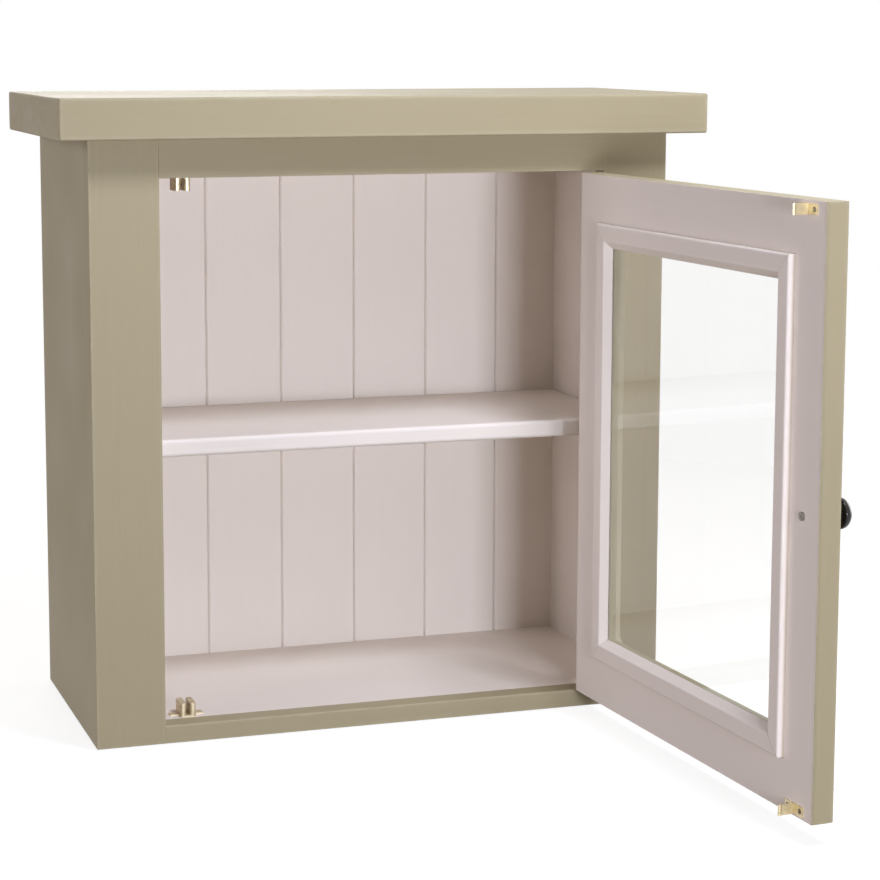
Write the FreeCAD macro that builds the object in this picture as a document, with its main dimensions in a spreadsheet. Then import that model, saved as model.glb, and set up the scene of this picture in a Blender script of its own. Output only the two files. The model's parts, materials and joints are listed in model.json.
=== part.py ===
"""A wall-hung kitchen cabinet with one glazed door, modelled with the door standing open.

X runs to the right, Y to the back and Z up. The origin is the middle of the carcass's underside.
The door and what it carries are drawn closed, from the hinge axis, and are then turned on that axis.
"""
import FreeCAD, Part
import math
import os
import re
import Sketcher

# Driving sizes in millimetres, and the door's angle in degrees
SIZES = {
    # Carcass
    "carcass_width": 600,
    "carcass_height": 598,
    "carcass_depth": 271,
    "side_thick": 18,
    "base_thick": 18,
    "top_thick": 18,
    "housing_depth": 6,
    # Cornice board and its dowels
    "cornice_thick": 40,
    "cornice_side_overhang": 32,
    "cornice_front_overhang": 30,
    "cornice_round": 1.5,
    "dowel_diameter": 8,
    "dowel_length": 40,
    "dowel_inset": 40,
    # Face frame
    "frame_thick": 22,
    "frame_stile": 69,
    "top_rail": 38,
    "frame_tenon": 30,
    "tenon_thick": 8,
    "tenon_shoulder": 4,
    "glue_gap": 0.1,
    # Tongue-and-groove back
    "board_thick": 11,
    "board_pitch": 84,
    "first_board": 74,
    "least_board": 20,
    "board_tongue": 6,
    "board_tongue_thick": 4,
    "board_vee": 1.5,
    "nail_diameter": 2,
    "nail_head": 4,
    "nail_head_thick": 1,
    "nail_length": 30,
    # Shelf and its pins
    "shelf_thick": 18,
    "shelf_height": 278,
    "shelf_setback": 52,
    "shelf_gap": 1,
    "shelf_round": 4,
    "shelf_pin_diameter": 5,
    "shelf_pin_bite": 10,
    "shelf_pin_reach": 9,
    "shelf_pin_inset": 40,
    # Keyhole plates for hanging
    "hanger_inset": 78,
    "hanger_margin": 2,
    "hanger_length": 50,
    "hanger_thick": 2,
    "hanger_drop": 21,
    "hanger_entry": 9,
    "hanger_slot": 5,
    "hanger_slot_rise": 12,
    "hanger_pocket": 11,
    "hanger_pocket_depth": 10,
    "hanger_pocket_margin": 4,
    "hanger_screw_inset": 5,
    # Wood screws of the hinges, catches, strikes and hangers
    "screw_head": 5.2,
    "screw_head_height": 1.4,
    "screw_shank": 2.6,
    "screw_length": 14,
    "screw_slot": 0.7,
    "screw_slot_depth": 0.6,
    # Door frame
    "door_angle": 93.8,
    "door_gap": 1.5,
    "door_thick": 22,
    "door_member": 70,
    "door_tenon": 40,
    "front_bevel": 10,
    # Glass and glazing beads
    "glass_thick": 4,
    "glass_rebate": 12,
    "glass_gap": 1,
    "bead_lap": 1.5,
    "bead_width": 24,
    "bead_flat": 16.5,
    "bead_proud": 6.8,
    "bead_round": 2.5,
    # Butt hinges
    "hinge_length": 54,
    "hinge_inset": 76,
    "barrel_diameter": 6.5,
    "barrel_clearance": 1.45,
    "pin_diameter": 3.2,
    "pin_clearance": 0.05,
    "knuckle_gap": 0.3,
    "leaf_width": 20,
    "leaf_thick": 2,
    "leaf_clearance": 0.3,
    "hinge_screw_pitch": 32,
    # Knob
    "knob_inset": 26,
    "knob_height": 267.2,
    "knob_base": 16,
    "knob_base_thick": 2.5,
    "knob_neck": 11,
    "knob_neck_length": 7.5,
    "knob_head": 27.8,
    "knob_underside": 3,
    "knob_rim": 2,
    "knob_dome": 8.5,
    "knob_screw_shank": 4,
    "knob_screw_head": 8,
    "knob_screw_head_height": 1.8,
    "knob_screw_bite": 10,
    # Double ball catches
    "catch_inset": 28.5,
    "catch_reach": 14,
    "catch_slot": 3.6,
    "catch_post": 6.2,
    "catch_post_depth": 23,
    "catch_post_rise": 4.9,
    "catch_round": 2.5,
    "catch_ear": 9,
    "catch_ear_depth": 9,
    "catch_plate_thick": 1.5,
    "ball_diameter": 3.5,
    "ball_stand": 0.7,
    "ball_clearance": 0.06,
    "ball_seat": 0.6,
    "seat_clearance": 0.08,
    "spring_clearance": 0.15,
    "spring_wire": 0.6,
    "spring_gap": 0.05,
    "adjuster_length": 1.5,
    # Strikes on the door
    "strike_length": 28,
    "strike_height": 9,
    "strike_thick": 1.5,
    "strike_edge": 3.1,
    "strike_screw_inset": 4,
    "strike_clearance": 0.3,
    "strike_tongue_length": 15.5,
    "strike_tongue_thick": 0.9,
    "strike_tongue_height": 10,
    "strike_ridge_length": 4.4,
}

# Planes and half widths that several pieces share, as formulas of the sizes
HALF = "carcass_width / 2"
INNER = "(carcass_width / 2 - side_thick)"
OPEN_HALF = "(carcass_width / 2 - frame_stile)"
FRONT = "(-carcass_depth / 2)"
BEHIND_FRAME = "(frame_thick - carcass_depth / 2)"
BOARD_FACE = "(carcass_depth / 2 - board_thick)"
BACK = "(carcass_depth / 2)"
OPEN_TOP = "(carcass_height - top_rail)"
SIDE_MIDDLE = "(carcass_width / 2 - side_thick / 2)"
HANGER_Z = "(carcass_height - hanger_inset)"

# The closed door's planes, measured from the hinge axis
DOOR_FREE = f"(1.5 * door_gap - 2 * {OPEN_HALF})"
DOOR_HINGE = "(-door_gap / 2)"
DOOR_FRONT = "(barrel_diameter / 2 + barrel_clearance)"
DOOR_BACK = f"({DOOR_FRONT} + door_thick)"
DOOR_LOW = "(base_thick + door_gap)"
DOOR_HIGH = f"({OPEN_TOP} - door_gap)"
KNOB_Z = f"({DOOR_LOW} + knob_height)"

# Where the catches and their strikes meet
CATCH_X = f"(catch_inset - {OPEN_HALF})"
CATCH_Y = f"({FRONT} + door_thick + catch_reach)"
CATCH_RISE = "(door_gap + strike_edge + strike_height / 2)"
STRIKE_X = f"(catch_inset + door_gap / 2 - 2 * {OPEN_HALF})"

doc = FreeCAD.newDocument("kitchen_cabinet")
sheet = doc.addObject("Spreadsheet::Sheet", "dims")
for row, (alias, size) in enumerate(SIZES.items(), start=1):
    sheet.set(f"A{row}", alias)
    sheet.set(f"B{row}", str(size))
    sheet.setAlias(f"B{row}", alias)
doc.recompute()

ALIAS = re.compile(r"\b(" + "|".join(SIZES) + r")\b")
nodes = {}


# Binding sizes

def bind(piece, prop, text):
    """Binds one property to a formula in which each size stands for its cell of the sheet."""
    piece.setExpression(prop, ALIAS.sub(r"dims.\1", text))


def stand(piece, x, y, z):
    """Binds where a piece stands."""
    for axis, text in zip("xyz", (x, y, z)):
        bind(piece, f"Placement.Base.{axis}", text)


# Planes

def on_side(side, near, far):
    """The two planes at these distances from the middle plane, on its right (1) or left (-1)."""
    return (near, far) if side > 0 else (f"-({far})", f"-({near})")


def reach(sign, face, near, far):
    """The two planes at these distances from a face, forwards (1) or backwards (-1), lower one first."""
    if sign > 0:
        return f"{face} + {near}", f"{face} + {far}"
    return f"{face} - ({far})", f"{face} - ({near})"


def about(middle, width):
    """The two planes of a width centred on a middle."""
    return f"{middle} - ({width}) / 2", f"{middle} + ({width}) / 2"


def grown(planes, margin):
    """Two planes moved apart by a margin each, or together where the margin is negative."""
    return f"{planes[0]} - ({margin})", f"{planes[1]} + ({margin})"


# Solids

def block(name, xs, ys, zs):
    """A block between two planes along each axis."""
    piece = doc.addObject("Part::Box", name)
    for prop, (low, high) in zip(("Length", "Width", "Height"), (xs, ys, zs)):
        bind(piece, prop, f"({high}) - ({low})")
    stand(piece, xs[0], ys[0], zs[0])
    return piece


def lay_along(piece, axis, start, centre):
    """Turns a piece's own Z axis to lie along an axis, from a start plane, through a centre."""
    turns = {
        "x": FreeCAD.Rotation(FreeCAD.Vector(0, 1, 0), 90),
        "y": FreeCAD.Rotation(FreeCAD.Vector(1, 0, 0), -90),
        "z": FreeCAD.Rotation(),
    }
    piece.Placement = FreeCAD.Placement(FreeCAD.Vector(), turns[axis])
    spots = list(centre)
    spots.insert("xyz".index(axis), start)
    stand(piece, *spots)


def rod(name, axis, radius, span, centre):
    """A round rod along an axis between two planes."""
    piece = doc.addObject("Part::Cylinder", name)
    bind(piece, "Radius", radius)
    bind(piece, "Height", f"({span[1]}) - ({span[0]})")
    lay_along(piece, axis, span[0], centre)
    return piece


def taper(name, axis, radii, span, centre):
    """A round taper along an axis between two planes, with a radius at each."""
    piece = doc.addObject("Part::Cone", name)
    bind(piece, "Radius1", radii[0])
    bind(piece, "Radius2", radii[1])
    bind(piece, "Height", f"({span[1]}) - ({span[0]})")
    lay_along(piece, axis, span[0], centre)
    return piece


def frustum(name, ys, low_x, low_z, high_x, high_z):
    """A four-sided frustum along Y, with one rectangle at its low plane and one at its high plane."""
    piece = doc.addObject("Part::Wedge", name)
    planes = {
        "Xmin": low_x[0], "Xmax": low_x[1], "Zmin": low_z[0], "Zmax": low_z[1],
        "X2min": high_x[0], "X2max": high_x[1], "Z2min": high_z[0], "Z2max": high_z[1],
        "Ymin": ys[0], "Ymax": ys[1],
    }
    # A wedge refuses a low plane above its high one, so it is opened wide before it is bound
    piece.Xmin, piece.X2min, piece.Ymin, piece.Zmin, piece.Z2min = (-2000,) * 5
    piece.Xmax, piece.X2max, piece.Ymax, piece.Zmax, piece.Z2max = (2000,) * 5
    for prop, text in planes.items():
        bind(piece, prop, text)
    return piece


def cut(name, base, *tools):
    """A piece with each tool's shape taken out of it."""
    for step, tool in enumerate(tools):
        piece = doc.addObject("Part::Cut", f"{name}_cut_{step}")
        piece.Base = base
        piece.Tool = tool
        base = piece
    return base


def fuse(name, *pieces):
    """Several shapes that are one solid piece."""
    piece = doc.addObject("Part::MultiFuse", f"{name}_fused")
    piece.Shapes = list(pieces)
    piece.Refine = True
    return piece


def common(name, first, second):
    """What two shapes share."""
    piece = doc.addObject("Part::Common", f"{name}_shared")
    piece.Base = first
    piece.Tool = second
    return piece


def group(name, pieces):
    """Separate solids kept together."""
    piece = doc.addObject("Part::Compound", f"{name}_group")
    piece.Links = list(pieces)
    return piece


def rounded(name, piece, alias, picks):
    """A piece with the edges that a test picks rounded to one size of the sheet."""
    doc.recompute()
    radius = sheet.get(alias)
    fillet = doc.addObject("Part::Fillet", f"{name}_round")
    fillet.Base = piece
    fillet.Edges = [(k, radius, radius) for k, edge in enumerate(piece.Shape.Edges, start=1) if picks(edge)]
    return fillet


def node(label, piece):
    """Names a finished piece of the carcass."""
    piece.Label = label
    nodes[label] = piece


def door_node(label, *pieces):
    """Names a finished piece of the door, and turns it from closed to open on the hinge axis."""
    carried = group(label, pieces)
    carried.Placement = FreeCAD.Placement(FreeCAD.Vector(), FreeCAD.Rotation(FreeCAD.Vector(0, 0, 1), 1))
    bind(carried, "Placement.Rotation.Angle", "door_angle")
    stand(carried, f"{OPEN_HALF} - door_gap / 2", f"{FRONT} - {DOOR_FRONT}", "0")
    node(label, carried)


# Fasteners

def screw(name, axis, sign, face, centre):
    """A slotted countersunk wood screw driven from a face along an axis: its blank and the finished screw."""
    radii = ("screw_head / 2", "screw_shank / 2")
    head = taper(f"{name}_head", axis, radii[::sign], reach(sign, face, "0", "screw_head_height"), centre)
    shank_span = reach(sign, face, "screw_head_height", "screw_length")
    shank = rod(f"{name}_shank", axis, "screw_shank / 2", shank_span, centre)
    blank = fuse(name, head, shank)
    across = [about(centre[0], "screw_head"), about(centre[1], "screw_slot")]
    across.insert("xyz".index(axis), reach(sign, face, "0", "screw_slot_depth"))
    return blank, cut(f"{name}_slotted", blank, block(f"{name}_slot", *across))


def screws(name, spots):
    """A set of wood screws: the group of blanks that cuts their holes, and the finished screws."""
    made = [screw(f"{name}_{k}", *spot) for k, spot in enumerate(spots, start=1)]
    return group(f"{name}_blanks", [blank for blank, _ in made]), [finished for _, finished in made]


def cornice_dowels():
    """Six dowels, half in the cornice and half in the top edges of the sides."""
    span = about("carcass_height", "dowel_length")
    rows = (f"{BEHIND_FRAME} + dowel_inset", f"({BEHIND_FRAME} + {BACK}) / 2", f"{BACK} - dowel_inset")
    places = [(side, row) for side in (-1, 1) for row in rows]
    return group("dowels", [
        rod(f"dowel_{k}", "z", "dowel_diameter / 2", span, (f"{side} * {SIDE_MIDDLE}", row))
        for k, (side, row) in enumerate(places, start=1)
    ])


def shelf_pins():
    """Four pins in the sides, with the shelf lying on top of them."""
    height = "shelf_height - shelf_pin_diameter / 2"
    rows = (f"{FRONT} + shelf_setback + shelf_pin_inset", f"{BOARD_FACE} - shelf_pin_inset")
    places = [(side, row) for side in (-1, 1) for row in rows]
    return group("pins", [
        rod(f"shelf_pin_{k}", "x", "shelf_pin_diameter / 2",
            on_side(side, f"{INNER} - shelf_pin_reach", f"{INNER} + shelf_pin_bite"), (row, height))
        for k, (side, row) in enumerate(places, start=1)
    ])


# Carcass

def hanger(side, name):
    """One keyhole plate in the rear edge of a side, with its recess and the pocket for the wall screw."""
    middle = f"{side} * {SIDE_MIDDLE}"
    low = f"({HANGER_Z} - hanger_drop)"
    plate_z = (low, f"{low} + hanger_length")
    plate_y = reach(-1, BACK, "0", "hanger_thick")
    slot_z = (HANGER_Z, f"{HANGER_Z} + hanger_slot_rise")
    recess = block(f"{name}_recess", about(middle, "side_thick - 2 * hanger_margin"), plate_y, plate_z)
    entry = rod(f"{name}_entry", "y", "hanger_entry / 2", plate_y, (middle, HANGER_Z))
    slot = block(f"{name}_slot", about(middle, "hanger_slot"), plate_y, slot_z)
    pocket_z = grown((f"{HANGER_Z} - hanger_entry / 2", slot_z[1]), "hanger_pocket_margin")
    pocket_y = reach(-1, BACK, "hanger_thick", "hanger_pocket_depth")
    pocket = block(f"{name}_pocket", about(middle, "hanger_pocket"), pocket_y, pocket_z)
    spots = [("y", -1, BACK, (middle, z)) for z in grown(plate_z, "-hanger_screw_inset")]
    blanks, finished = screws(f"{name}_screw", spots)
    plate = cut(f"{name}_plate", recess, entry, slot, blanks)
    return plate, (recess, pocket, blanks), finished


def side_panel(name, side, tools):
    """One side, with housings for base and top and the holes that its fittings need."""
    panel = block(f"{name}_board", on_side(side, INNER, HALF), (BEHIND_FRAME, BACK), ("0", "carcass_height"))
    housing_x = on_side(side, INNER, f"{INNER} + housing_depth")
    housing_y = (BEHIND_FRAME, BOARD_FACE)
    base_housing = block(f"{name}_base_housing", housing_x, housing_y, ("0", "base_thick"))
    top_housing = block(f"{name}_top_housing", housing_x, housing_y, (OPEN_TOP, f"{OPEN_TOP} + top_thick"))
    return cut(name, panel, base_housing, top_housing, *tools)


def level_panel(name, zs, tools):
    """The base or the top, let into both sides."""
    half = f"({INNER} + housing_depth)"
    return cut(name, block(f"{name}_board", on_panel(half), (BEHIND_FRAME, BOARD_FACE), zs), *tools)


def on_panel(half):
    """The planes of something centred on the middle plane."""
    return f"-{half}", half


def face_rail(name, zs):
    """One rail of the face frame with a tenon at each end: the rail and the mortise it needs."""
    frame_y = (FRONT, BEHIND_FRAME)
    body = block(f"{name}_body", on_panel(OPEN_HALF), frame_y, zs)
    tenon_x = on_panel(f"({OPEN_HALF} + frame_tenon)")
    tenon_y = about(f"({FRONT} + frame_thick / 2)", "tenon_thick")
    tenon_z = grown(zs, "-tenon_shoulder")
    tenon = block(f"{name}_tenon", tenon_x, tenon_y, tenon_z)
    mortise = block(f"{name}_mortise", *(grown(planes, "glue_gap") for planes in (tenon_x, tenon_y, tenon_z)))
    return fuse(name, body, tenon), mortise


def back_boards(nails_at):
    """The tongue-and-groove boards, each nailed to base and top; the end boards are trimmed to fit."""
    inside = sheet.carcass_width - 2 * sheet.side_thick
    whole = math.floor((inside - sheet.first_board - sheet.least_board) / sheet.board_pitch)
    joints = [f"(first_board + {k} * board_pitch - {INNER})" for k in range(whole + 1)]
    edges = [f"(-{INNER})", *joints, INNER]
    board_y = (BOARD_FACE, BACK)
    board_z = ("0", "carcass_height")
    middle_y = f"({BACK} - board_thick / 2)"
    vees = [vee_joint(f"vee_{k}", joint, board_z) for k, joint in enumerate(joints, start=1)]
    boards, nails = [], []
    for k, (low, high) in enumerate(zip(edges, edges[1:]), start=1):
        piece = block(f"board_{k}_body", (low, high), board_y, board_z)
        shoulder = [vee for vee in vees[max(k - 2, 0):k]]
        if k <= len(joints):
            tongue_y = about(middle_y, "board_tongue_thick")
            tongue = block(f"board_{k}_tongue", (high, f"{high} + board_tongue"), tongue_y, board_z)
            piece = fuse(f"board_{k}", piece, tongue)
        if k > 1:
            groove_y = grown(about(middle_y, "board_tongue_thick"), "glue_gap")
            groove_x = (low, f"{low} + board_tongue + glue_gap")
            shoulder.append(block(f"board_{k}_groove", groove_x, groove_y, board_z))
        own = [nail(f"nail_{k}_{row}", f"({low} + {high}) / 2", z) for row, z in enumerate(nails_at, start=1)]
        nails += own
        boards.append(cut(f"board_{k}_shaped", piece, *shoulder, *own))
    return boards, group("nails", nails)


def vee_joint(name, joint, zs):
    """A square bar on edge that takes the V out of the front of two boards at their joint."""
    side = "board_vee * sqrt(2)"
    bar = block(name, ("0", side), ("0", side), zs)
    bar.Placement = FreeCAD.Placement(FreeCAD.Vector(), FreeCAD.Rotation(FreeCAD.Vector(0, 0, 1), 45))
    stand(bar, joint, f"{BOARD_FACE} - board_vee", zs[0])
    return bar


def nail(name, x, z):
    """One nail driven flush from the back."""
    head_span = reach(-1, BACK, "0", "nail_head_thick")
    shank_span = reach(-1, BACK, "nail_head_thick", "nail_length")
    head = rod(f"{name}_head", "y", "nail_head / 2", head_span, (x, z))
    return fuse(name, head, rod(f"{name}_shank", "y", "nail_diameter / 2", shank_span, (x, z)))


def cornice(dowels):
    """The thick top board, with its arrises eased."""
    xs = on_panel(f"({HALF} + cornice_side_overhang)")
    ys = (f"{FRONT} - cornice_front_overhang", BACK)
    board = block("cornice_board", xs, ys, ("carcass_height", "carcass_height + cornice_thick"))
    return cut("cornice", rounded("cornice", board, "cornice_round", lambda edge: True), dowels)


def shelf():
    """The shelf, with a rounded front edge."""
    ys = (f"{FRONT} + shelf_setback", f"{BOARD_FACE} - shelf_gap")
    zs = ("shelf_height", "shelf_height + shelf_thick")
    board = block("shelf_board", on_panel(f"({INNER} - shelf_gap)"), ys, zs)
    doc.recompute()
    front = board.Shape.BoundBox.YMin
    return rounded("shelf", board, "shelf_round",
                   lambda edge: edge.BoundBox.YMax < front + 0.5 and edge.BoundBox.ZLength < 0.5)


# Hinges, drawn from the hinge axis

def hinge_z(upper):
    """The two planes of a hinge, at one distance from the door's top or bottom."""
    if upper:
        return reach(-1, DOOR_HIGH, "hinge_inset", "hinge_inset + hinge_length")
    return reach(1, DOOR_LOW, "hinge_inset", "hinge_inset + hinge_length")


def hinge_leaf(name, side, zs, knuckles, bore, blanks):
    """One leaf on the frame's side (1) or the door's side (-1) of the axis, with its share of five knuckles."""
    leaf_x = on_side(side, "leaf_clearance / 2", "leaf_clearance / 2 + leaf_thick")
    clear = "barrel_diameter / 2 + knuckle_gap"
    pieces = [block(f"{name}_plate", leaf_x, (clear, "leaf_width"), zs)]
    step = "(hinge_length + knuckle_gap) / 5"
    for k in knuckles:
        low = f"{zs[0]} + {k} * {step}"
        span = (low, f"{low} + {step} - knuckle_gap")
        pieces.append(rod(f"{name}_knuckle_{k}", "z", "barrel_diameter / 2", span, ("0", "0")))
        pieces.append(block(f"{name}_web_{k}", leaf_x, ("0", clear), span))
    return cut(f"{name}_leaf", fuse(name, *pieces), bore, blanks)


def leaf_recess(name, side, zs):
    """The shallow recess that a leaf lies in, open at the front."""
    planes = on_side(side, "door_gap / 2", "leaf_clearance / 2 + leaf_thick")
    return block(name, planes, (DOOR_FRONT, "leaf_width"), zs)


def leaf_screws(name, side, zs):
    """Two screws through a leaf, driven square to it."""
    across = f"({DOOR_FRONT} + leaf_width) / 2"
    face = "leaf_clearance / 2" if side > 0 else "(-leaf_clearance / 2)"
    middle = f"({zs[0]} + hinge_length / 2)"
    return screws(name, [("x", side, face, (across, z)) for z in about(middle, "hinge_screw_pitch")])


def at_axis(piece):
    """Moves a piece that is drawn from the hinge axis to where the axis stands on the carcass."""
    stand(piece, f"{OPEN_HALF} - door_gap / 2", f"{FRONT} - {DOOR_FRONT}", "0")
    return piece


# Catches and strikes

def catch(name, seat, sign):
    """One double ball catch on the base (1) or under the top (-1): its body, and what goes into it."""
    axis_z = f"({seat} + {sign} * {CATCH_RISE})"
    bore_radius = "(ball_diameter / 2 + ball_clearance)"
    outer = "(catch_slot / 2 + catch_post)"
    plate_z = reach(sign, seat, "0", "catch_plate_thick")
    ear_x = about(CATCH_X, f"2 * ({outer} + catch_ear)")
    post_y = about(CATCH_Y, "catch_post_depth")
    body = [
        block(f"{name}_ears", ear_x, about(CATCH_Y, "catch_ear_depth"), plate_z),
        block(f"{name}_sole", about(CATCH_X, "catch_slot + catch_post"), post_y, plate_z),
    ]
    post_z = reach(sign, seat, "0", f"{CATCH_RISE} + catch_post_rise")
    bores, balls, springs, adjusters = [], [], [], []
    for side in (-1, 1):
        tag = f"{name}_{'left' if side < 0 else 'right'}"
        line = (CATCH_Y, axis_z)

        def span(near, far):
            return reach(side, CATCH_X, near, far)

        post = block(f"{tag}_post", span("catch_slot / 2", outer), post_y, post_z)
        body.append(rounded(f"{tag}_post", post, "catch_round", lambda edge: edge.BoundBox.ZLength > 0.5))
        seat_end = "catch_slot / 2 + ball_seat"
        mouth = "sqrt(ball_stand * (ball_diameter - ball_stand)) + seat_clearance"
        bores.append(rod(f"{tag}_bore", "x", bore_radius, span(seat_end, outer), line))
        bores.append(taper(f"{tag}_seat", "x", (mouth, bore_radius)[::side],
                           span("catch_slot / 2", seat_end), line))
        ball = doc.addObject("Part::Sphere", f"{tag}_sphere")
        bind(ball, "Radius", "ball_diameter / 2")
        ball_middle = "(catch_slot / 2 - ball_stand + ball_diameter / 2)"
        stand(ball, f"{CATCH_X} + {side} * {ball_middle}", *line)
        balls.append(ball)
        coil_outer = f"({bore_radius} - spring_clearance)"
        coil_inner = f"({coil_outer} - spring_wire)"
        touch = f"{ball_middle} + sqrt((ball_diameter / 2)^2 - {coil_inner}^2) + spring_gap"
        coil_span = span(touch, f"{outer} - adjuster_length")
        springs.append(cut(f"{tag}_spring", rod(f"{tag}_coil", "x", coil_outer, coil_span, line),
                           rod(f"{tag}_coil_bore", "x", coil_inner, coil_span, line)))
        plug = rod(f"{tag}_plug", "x", bore_radius, span(f"{outer} - adjuster_length", outer), line)
        slot = block(f"{tag}_plug_slot", span(f"{outer} - screw_slot_depth", outer),
                     about(CATCH_Y, f"2 * {bore_radius}"), about(axis_z, "screw_slot"))
        adjusters.append(cut(f"{tag}_adjuster", plug, slot))
    face = plate_z[1] if sign > 0 else plate_z[0]
    ears = (f"{CATCH_X} - ({outer} + catch_ear / 2)", f"{CATCH_X} + {outer} + catch_ear / 2")
    blanks, finished = screws(f"{name}_screw", [("z", -sign, f"({face})", (x, CATCH_Y)) for x in ears])
    return cut(f"{name}_body", fuse(name, *body), *bores, blanks), balls, springs, adjusters, blanks, finished


def strike(name, edge, sign):
    """One strike on the back of the door, up from its bottom edge (1) or down from its top edge (-1)."""
    middle = f"({edge} + {sign} * (strike_edge + strike_height / 2))"
    plate_z = about(middle, "strike_height")
    tongue_z = about(middle, "strike_tongue_height")
    plate_y = reach(1, DOOR_BACK, "0", "strike_thick")
    tongue_y = reach(1, DOOR_BACK, "strike_thick", "strike_thick + strike_tongue_length")
    ridge_y = f"{tongue_y[1]} - strike_ridge_length / 2"
    plate = block(f"{name}_plate", about(STRIKE_X, "strike_length"), plate_y, plate_z)
    tongue = block(f"{name}_tongue", about(STRIKE_X, "strike_tongue_thick"), tongue_y, tongue_z)
    # The ridge is the lens that two round rods share
    ridge_half = "(catch_slot / 2 - ball_stand - strike_clearance)"
    sweep = f"(strike_ridge_length^2 / 4 + {ridge_half}^2) / (2 * {ridge_half})"
    offset = f"({sweep} - {ridge_half})"
    left = rod(f"{name}_ridge_left", "z", sweep, tongue_z, (f"{STRIKE_X} + {offset}", ridge_y))
    right = rod(f"{name}_ridge_right", "z", sweep, tongue_z, (f"{STRIKE_X} - {offset}", ridge_y))
    ridge = common(f"{name}_ridge", left, right)
    ends = grown(about(STRIKE_X, "strike_length"), "-strike_screw_inset")
    blanks, finished = screws(f"{name}_screw", [("y", -1, f"({plate_y[1]})", (x, middle)) for x in ends])
    return cut(name, fuse(name, plate, tongue, ridge), blanks), blanks, finished


# Door

def door_frame(tools):
    """Two stiles and two tenoned rails, rebated for the glass at the back and bevelled at the front."""
    edge_x = (DOOR_FREE, DOOR_HINGE)
    edge_z = (DOOR_LOW, DOOR_HIGH)
    sight_x = grown(edge_x, "-door_member")
    sight_z = grown(edge_z, "-door_member")
    frame_y = (DOOR_FRONT, DOOR_BACK)
    rebate_x = grown(sight_x, "glass_rebate")
    rebate_z = grown(sight_z, "glass_rebate")
    glass_y = reach(-1, DOOR_BACK, "0", "glass_thick")
    seat = block("glass_seat", rebate_x, glass_y, rebate_z)
    bevel = frustum("front_bevel_shape", reach(1, DOOR_FRONT, "0", "front_bevel"),
                    grown(sight_x, "front_bevel"), grown(sight_z, "front_bevel"), sight_x, sight_z)
    tenon_x = grown(sight_x, "door_tenon")
    tenon_y = about(f"({DOOR_FRONT} + door_thick / 2)", "tenon_thick")
    mortises = []
    rails = {
        "door_top_rail": (sight_z[1], edge_z[1]),
        "door_bottom_rail": (edge_z[0], sight_z[0]),
    }
    for name, zs in rails.items():
        tenon_z = grown(zs, "-tenon_shoulder")
        tenon = block(f"{name}_tenon", tenon_x, tenon_y, tenon_z)
        hole = (grown(planes, "glue_gap") for planes in (tenon_x, tenon_y, tenon_z))
        mortises.append(block(f"{name}_mortise", *hole))
        rail = fuse(name, block(f"{name}_body", sight_x, frame_y, zs), tenon)
        door_node(name, cut(name, rail, seat, bevel, *tools[name]))
    stiles = {
        "door_closing_stile": (edge_x[0], sight_x[0]),
        "door_hinge_stile": (sight_x[1], edge_x[1]),
    }
    for name, xs in stiles.items():
        stile = block(f"{name}_body", xs, frame_y, edge_z)
        door_node(name, cut(name, stile, seat, bevel, *mortises, *tools[name]))
    glass = block("glass_sheet", grown(rebate_x, "-glass_gap"), glass_y, grown(rebate_z, "-glass_gap"))
    door_node("glass_pane", glass)


def glazing_beads():
    """A mitred ring round the glass on the back of the door, cut into its four beads at the mitres."""
    setback = "bead_width - door_member - bead_lap"
    outer_x = grown((DOOR_FREE, DOOR_HINGE), setback)
    outer_z = grown((DOOR_LOW, DOOR_HIGH), setback)
    foot_x = grown(outer_x, "-bead_width")
    foot_z = grown(outer_z, "-bead_width")
    ys = reach(1, DOOR_BACK, "0", "bead_proud")
    bar = block("bead_bar", outer_x, ys, outer_z)
    doc.recompute()
    top = bar.Shape.BoundBox.YMax
    bar = rounded("bead_bar", bar, "bead_round", lambda edge: edge.BoundBox.YMin > top - 0.5)
    ring = cut("bead_ring", bar, frustum("bead_slope", ys, foot_x, foot_z,
                                         grown(outer_x, "-bead_flat"), grown(outer_z, "-bead_flat")))
    # A wedge's own Y axis runs across each bead, so its other axis is turned to run through the door
    through = (f"-({ys[1]})", f"-({ys[0]})")
    across_z = FreeCAD.Rotation(FreeCAD.Vector(1, 0, 0), 90)
    across_x = FreeCAD.Rotation(FreeCAD.Vector(0, 0, 1), -90)
    mitres = {
        "bead_bottom": (across_z, (outer_z[0], foot_z[0]), outer_x, through, foot_x, through),
        "bead_top": (across_z, (foot_z[1], outer_z[1]), foot_x, through, outer_x, through),
        "bead_closing_side": (across_x, (outer_x[0], foot_x[0]), through, outer_z, through, foot_z),
        "bead_hinge_side": (across_x, (foot_x[1], outer_x[1]), through, foot_z, through, outer_z),
    }
    for name, (turn, span, *rectangles) in mitres.items():
        mitre = frustum(f"{name}_mitre", span, *rectangles)
        mitre.Placement = FreeCAD.Placement(FreeCAD.Vector(), turn)
        door_node(name, common(name, ring, mitre))


def knob_screw():
    """A pan-headed screw from the back of the door into the knob: its blank and the finished screw."""
    spot = (f"{DOOR_FREE} + knob_inset", KNOB_Z)
    head_span = reach(1, DOOR_BACK, "0", "knob_screw_head_height")
    head = rod("knob_screw_pan", "y", "knob_screw_head / 2", head_span, spot)
    shank_span = (f"{DOOR_FRONT} - knob_screw_bite", DOOR_BACK)
    shank = rod("knob_screw_shank_rod", "y", "knob_screw_shank / 2", shank_span, spot)
    blank = fuse("knob_screw", head, shank)
    slot_y = reach(-1, f"({head_span[1]})", "0", "screw_slot_depth")
    slot = block("knob_screw_slot", about(spot[0], "knob_screw_head"), slot_y, about(spot[1], "screw_slot"))
    return blank, cut("knob_screw", blank, slot)


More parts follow.
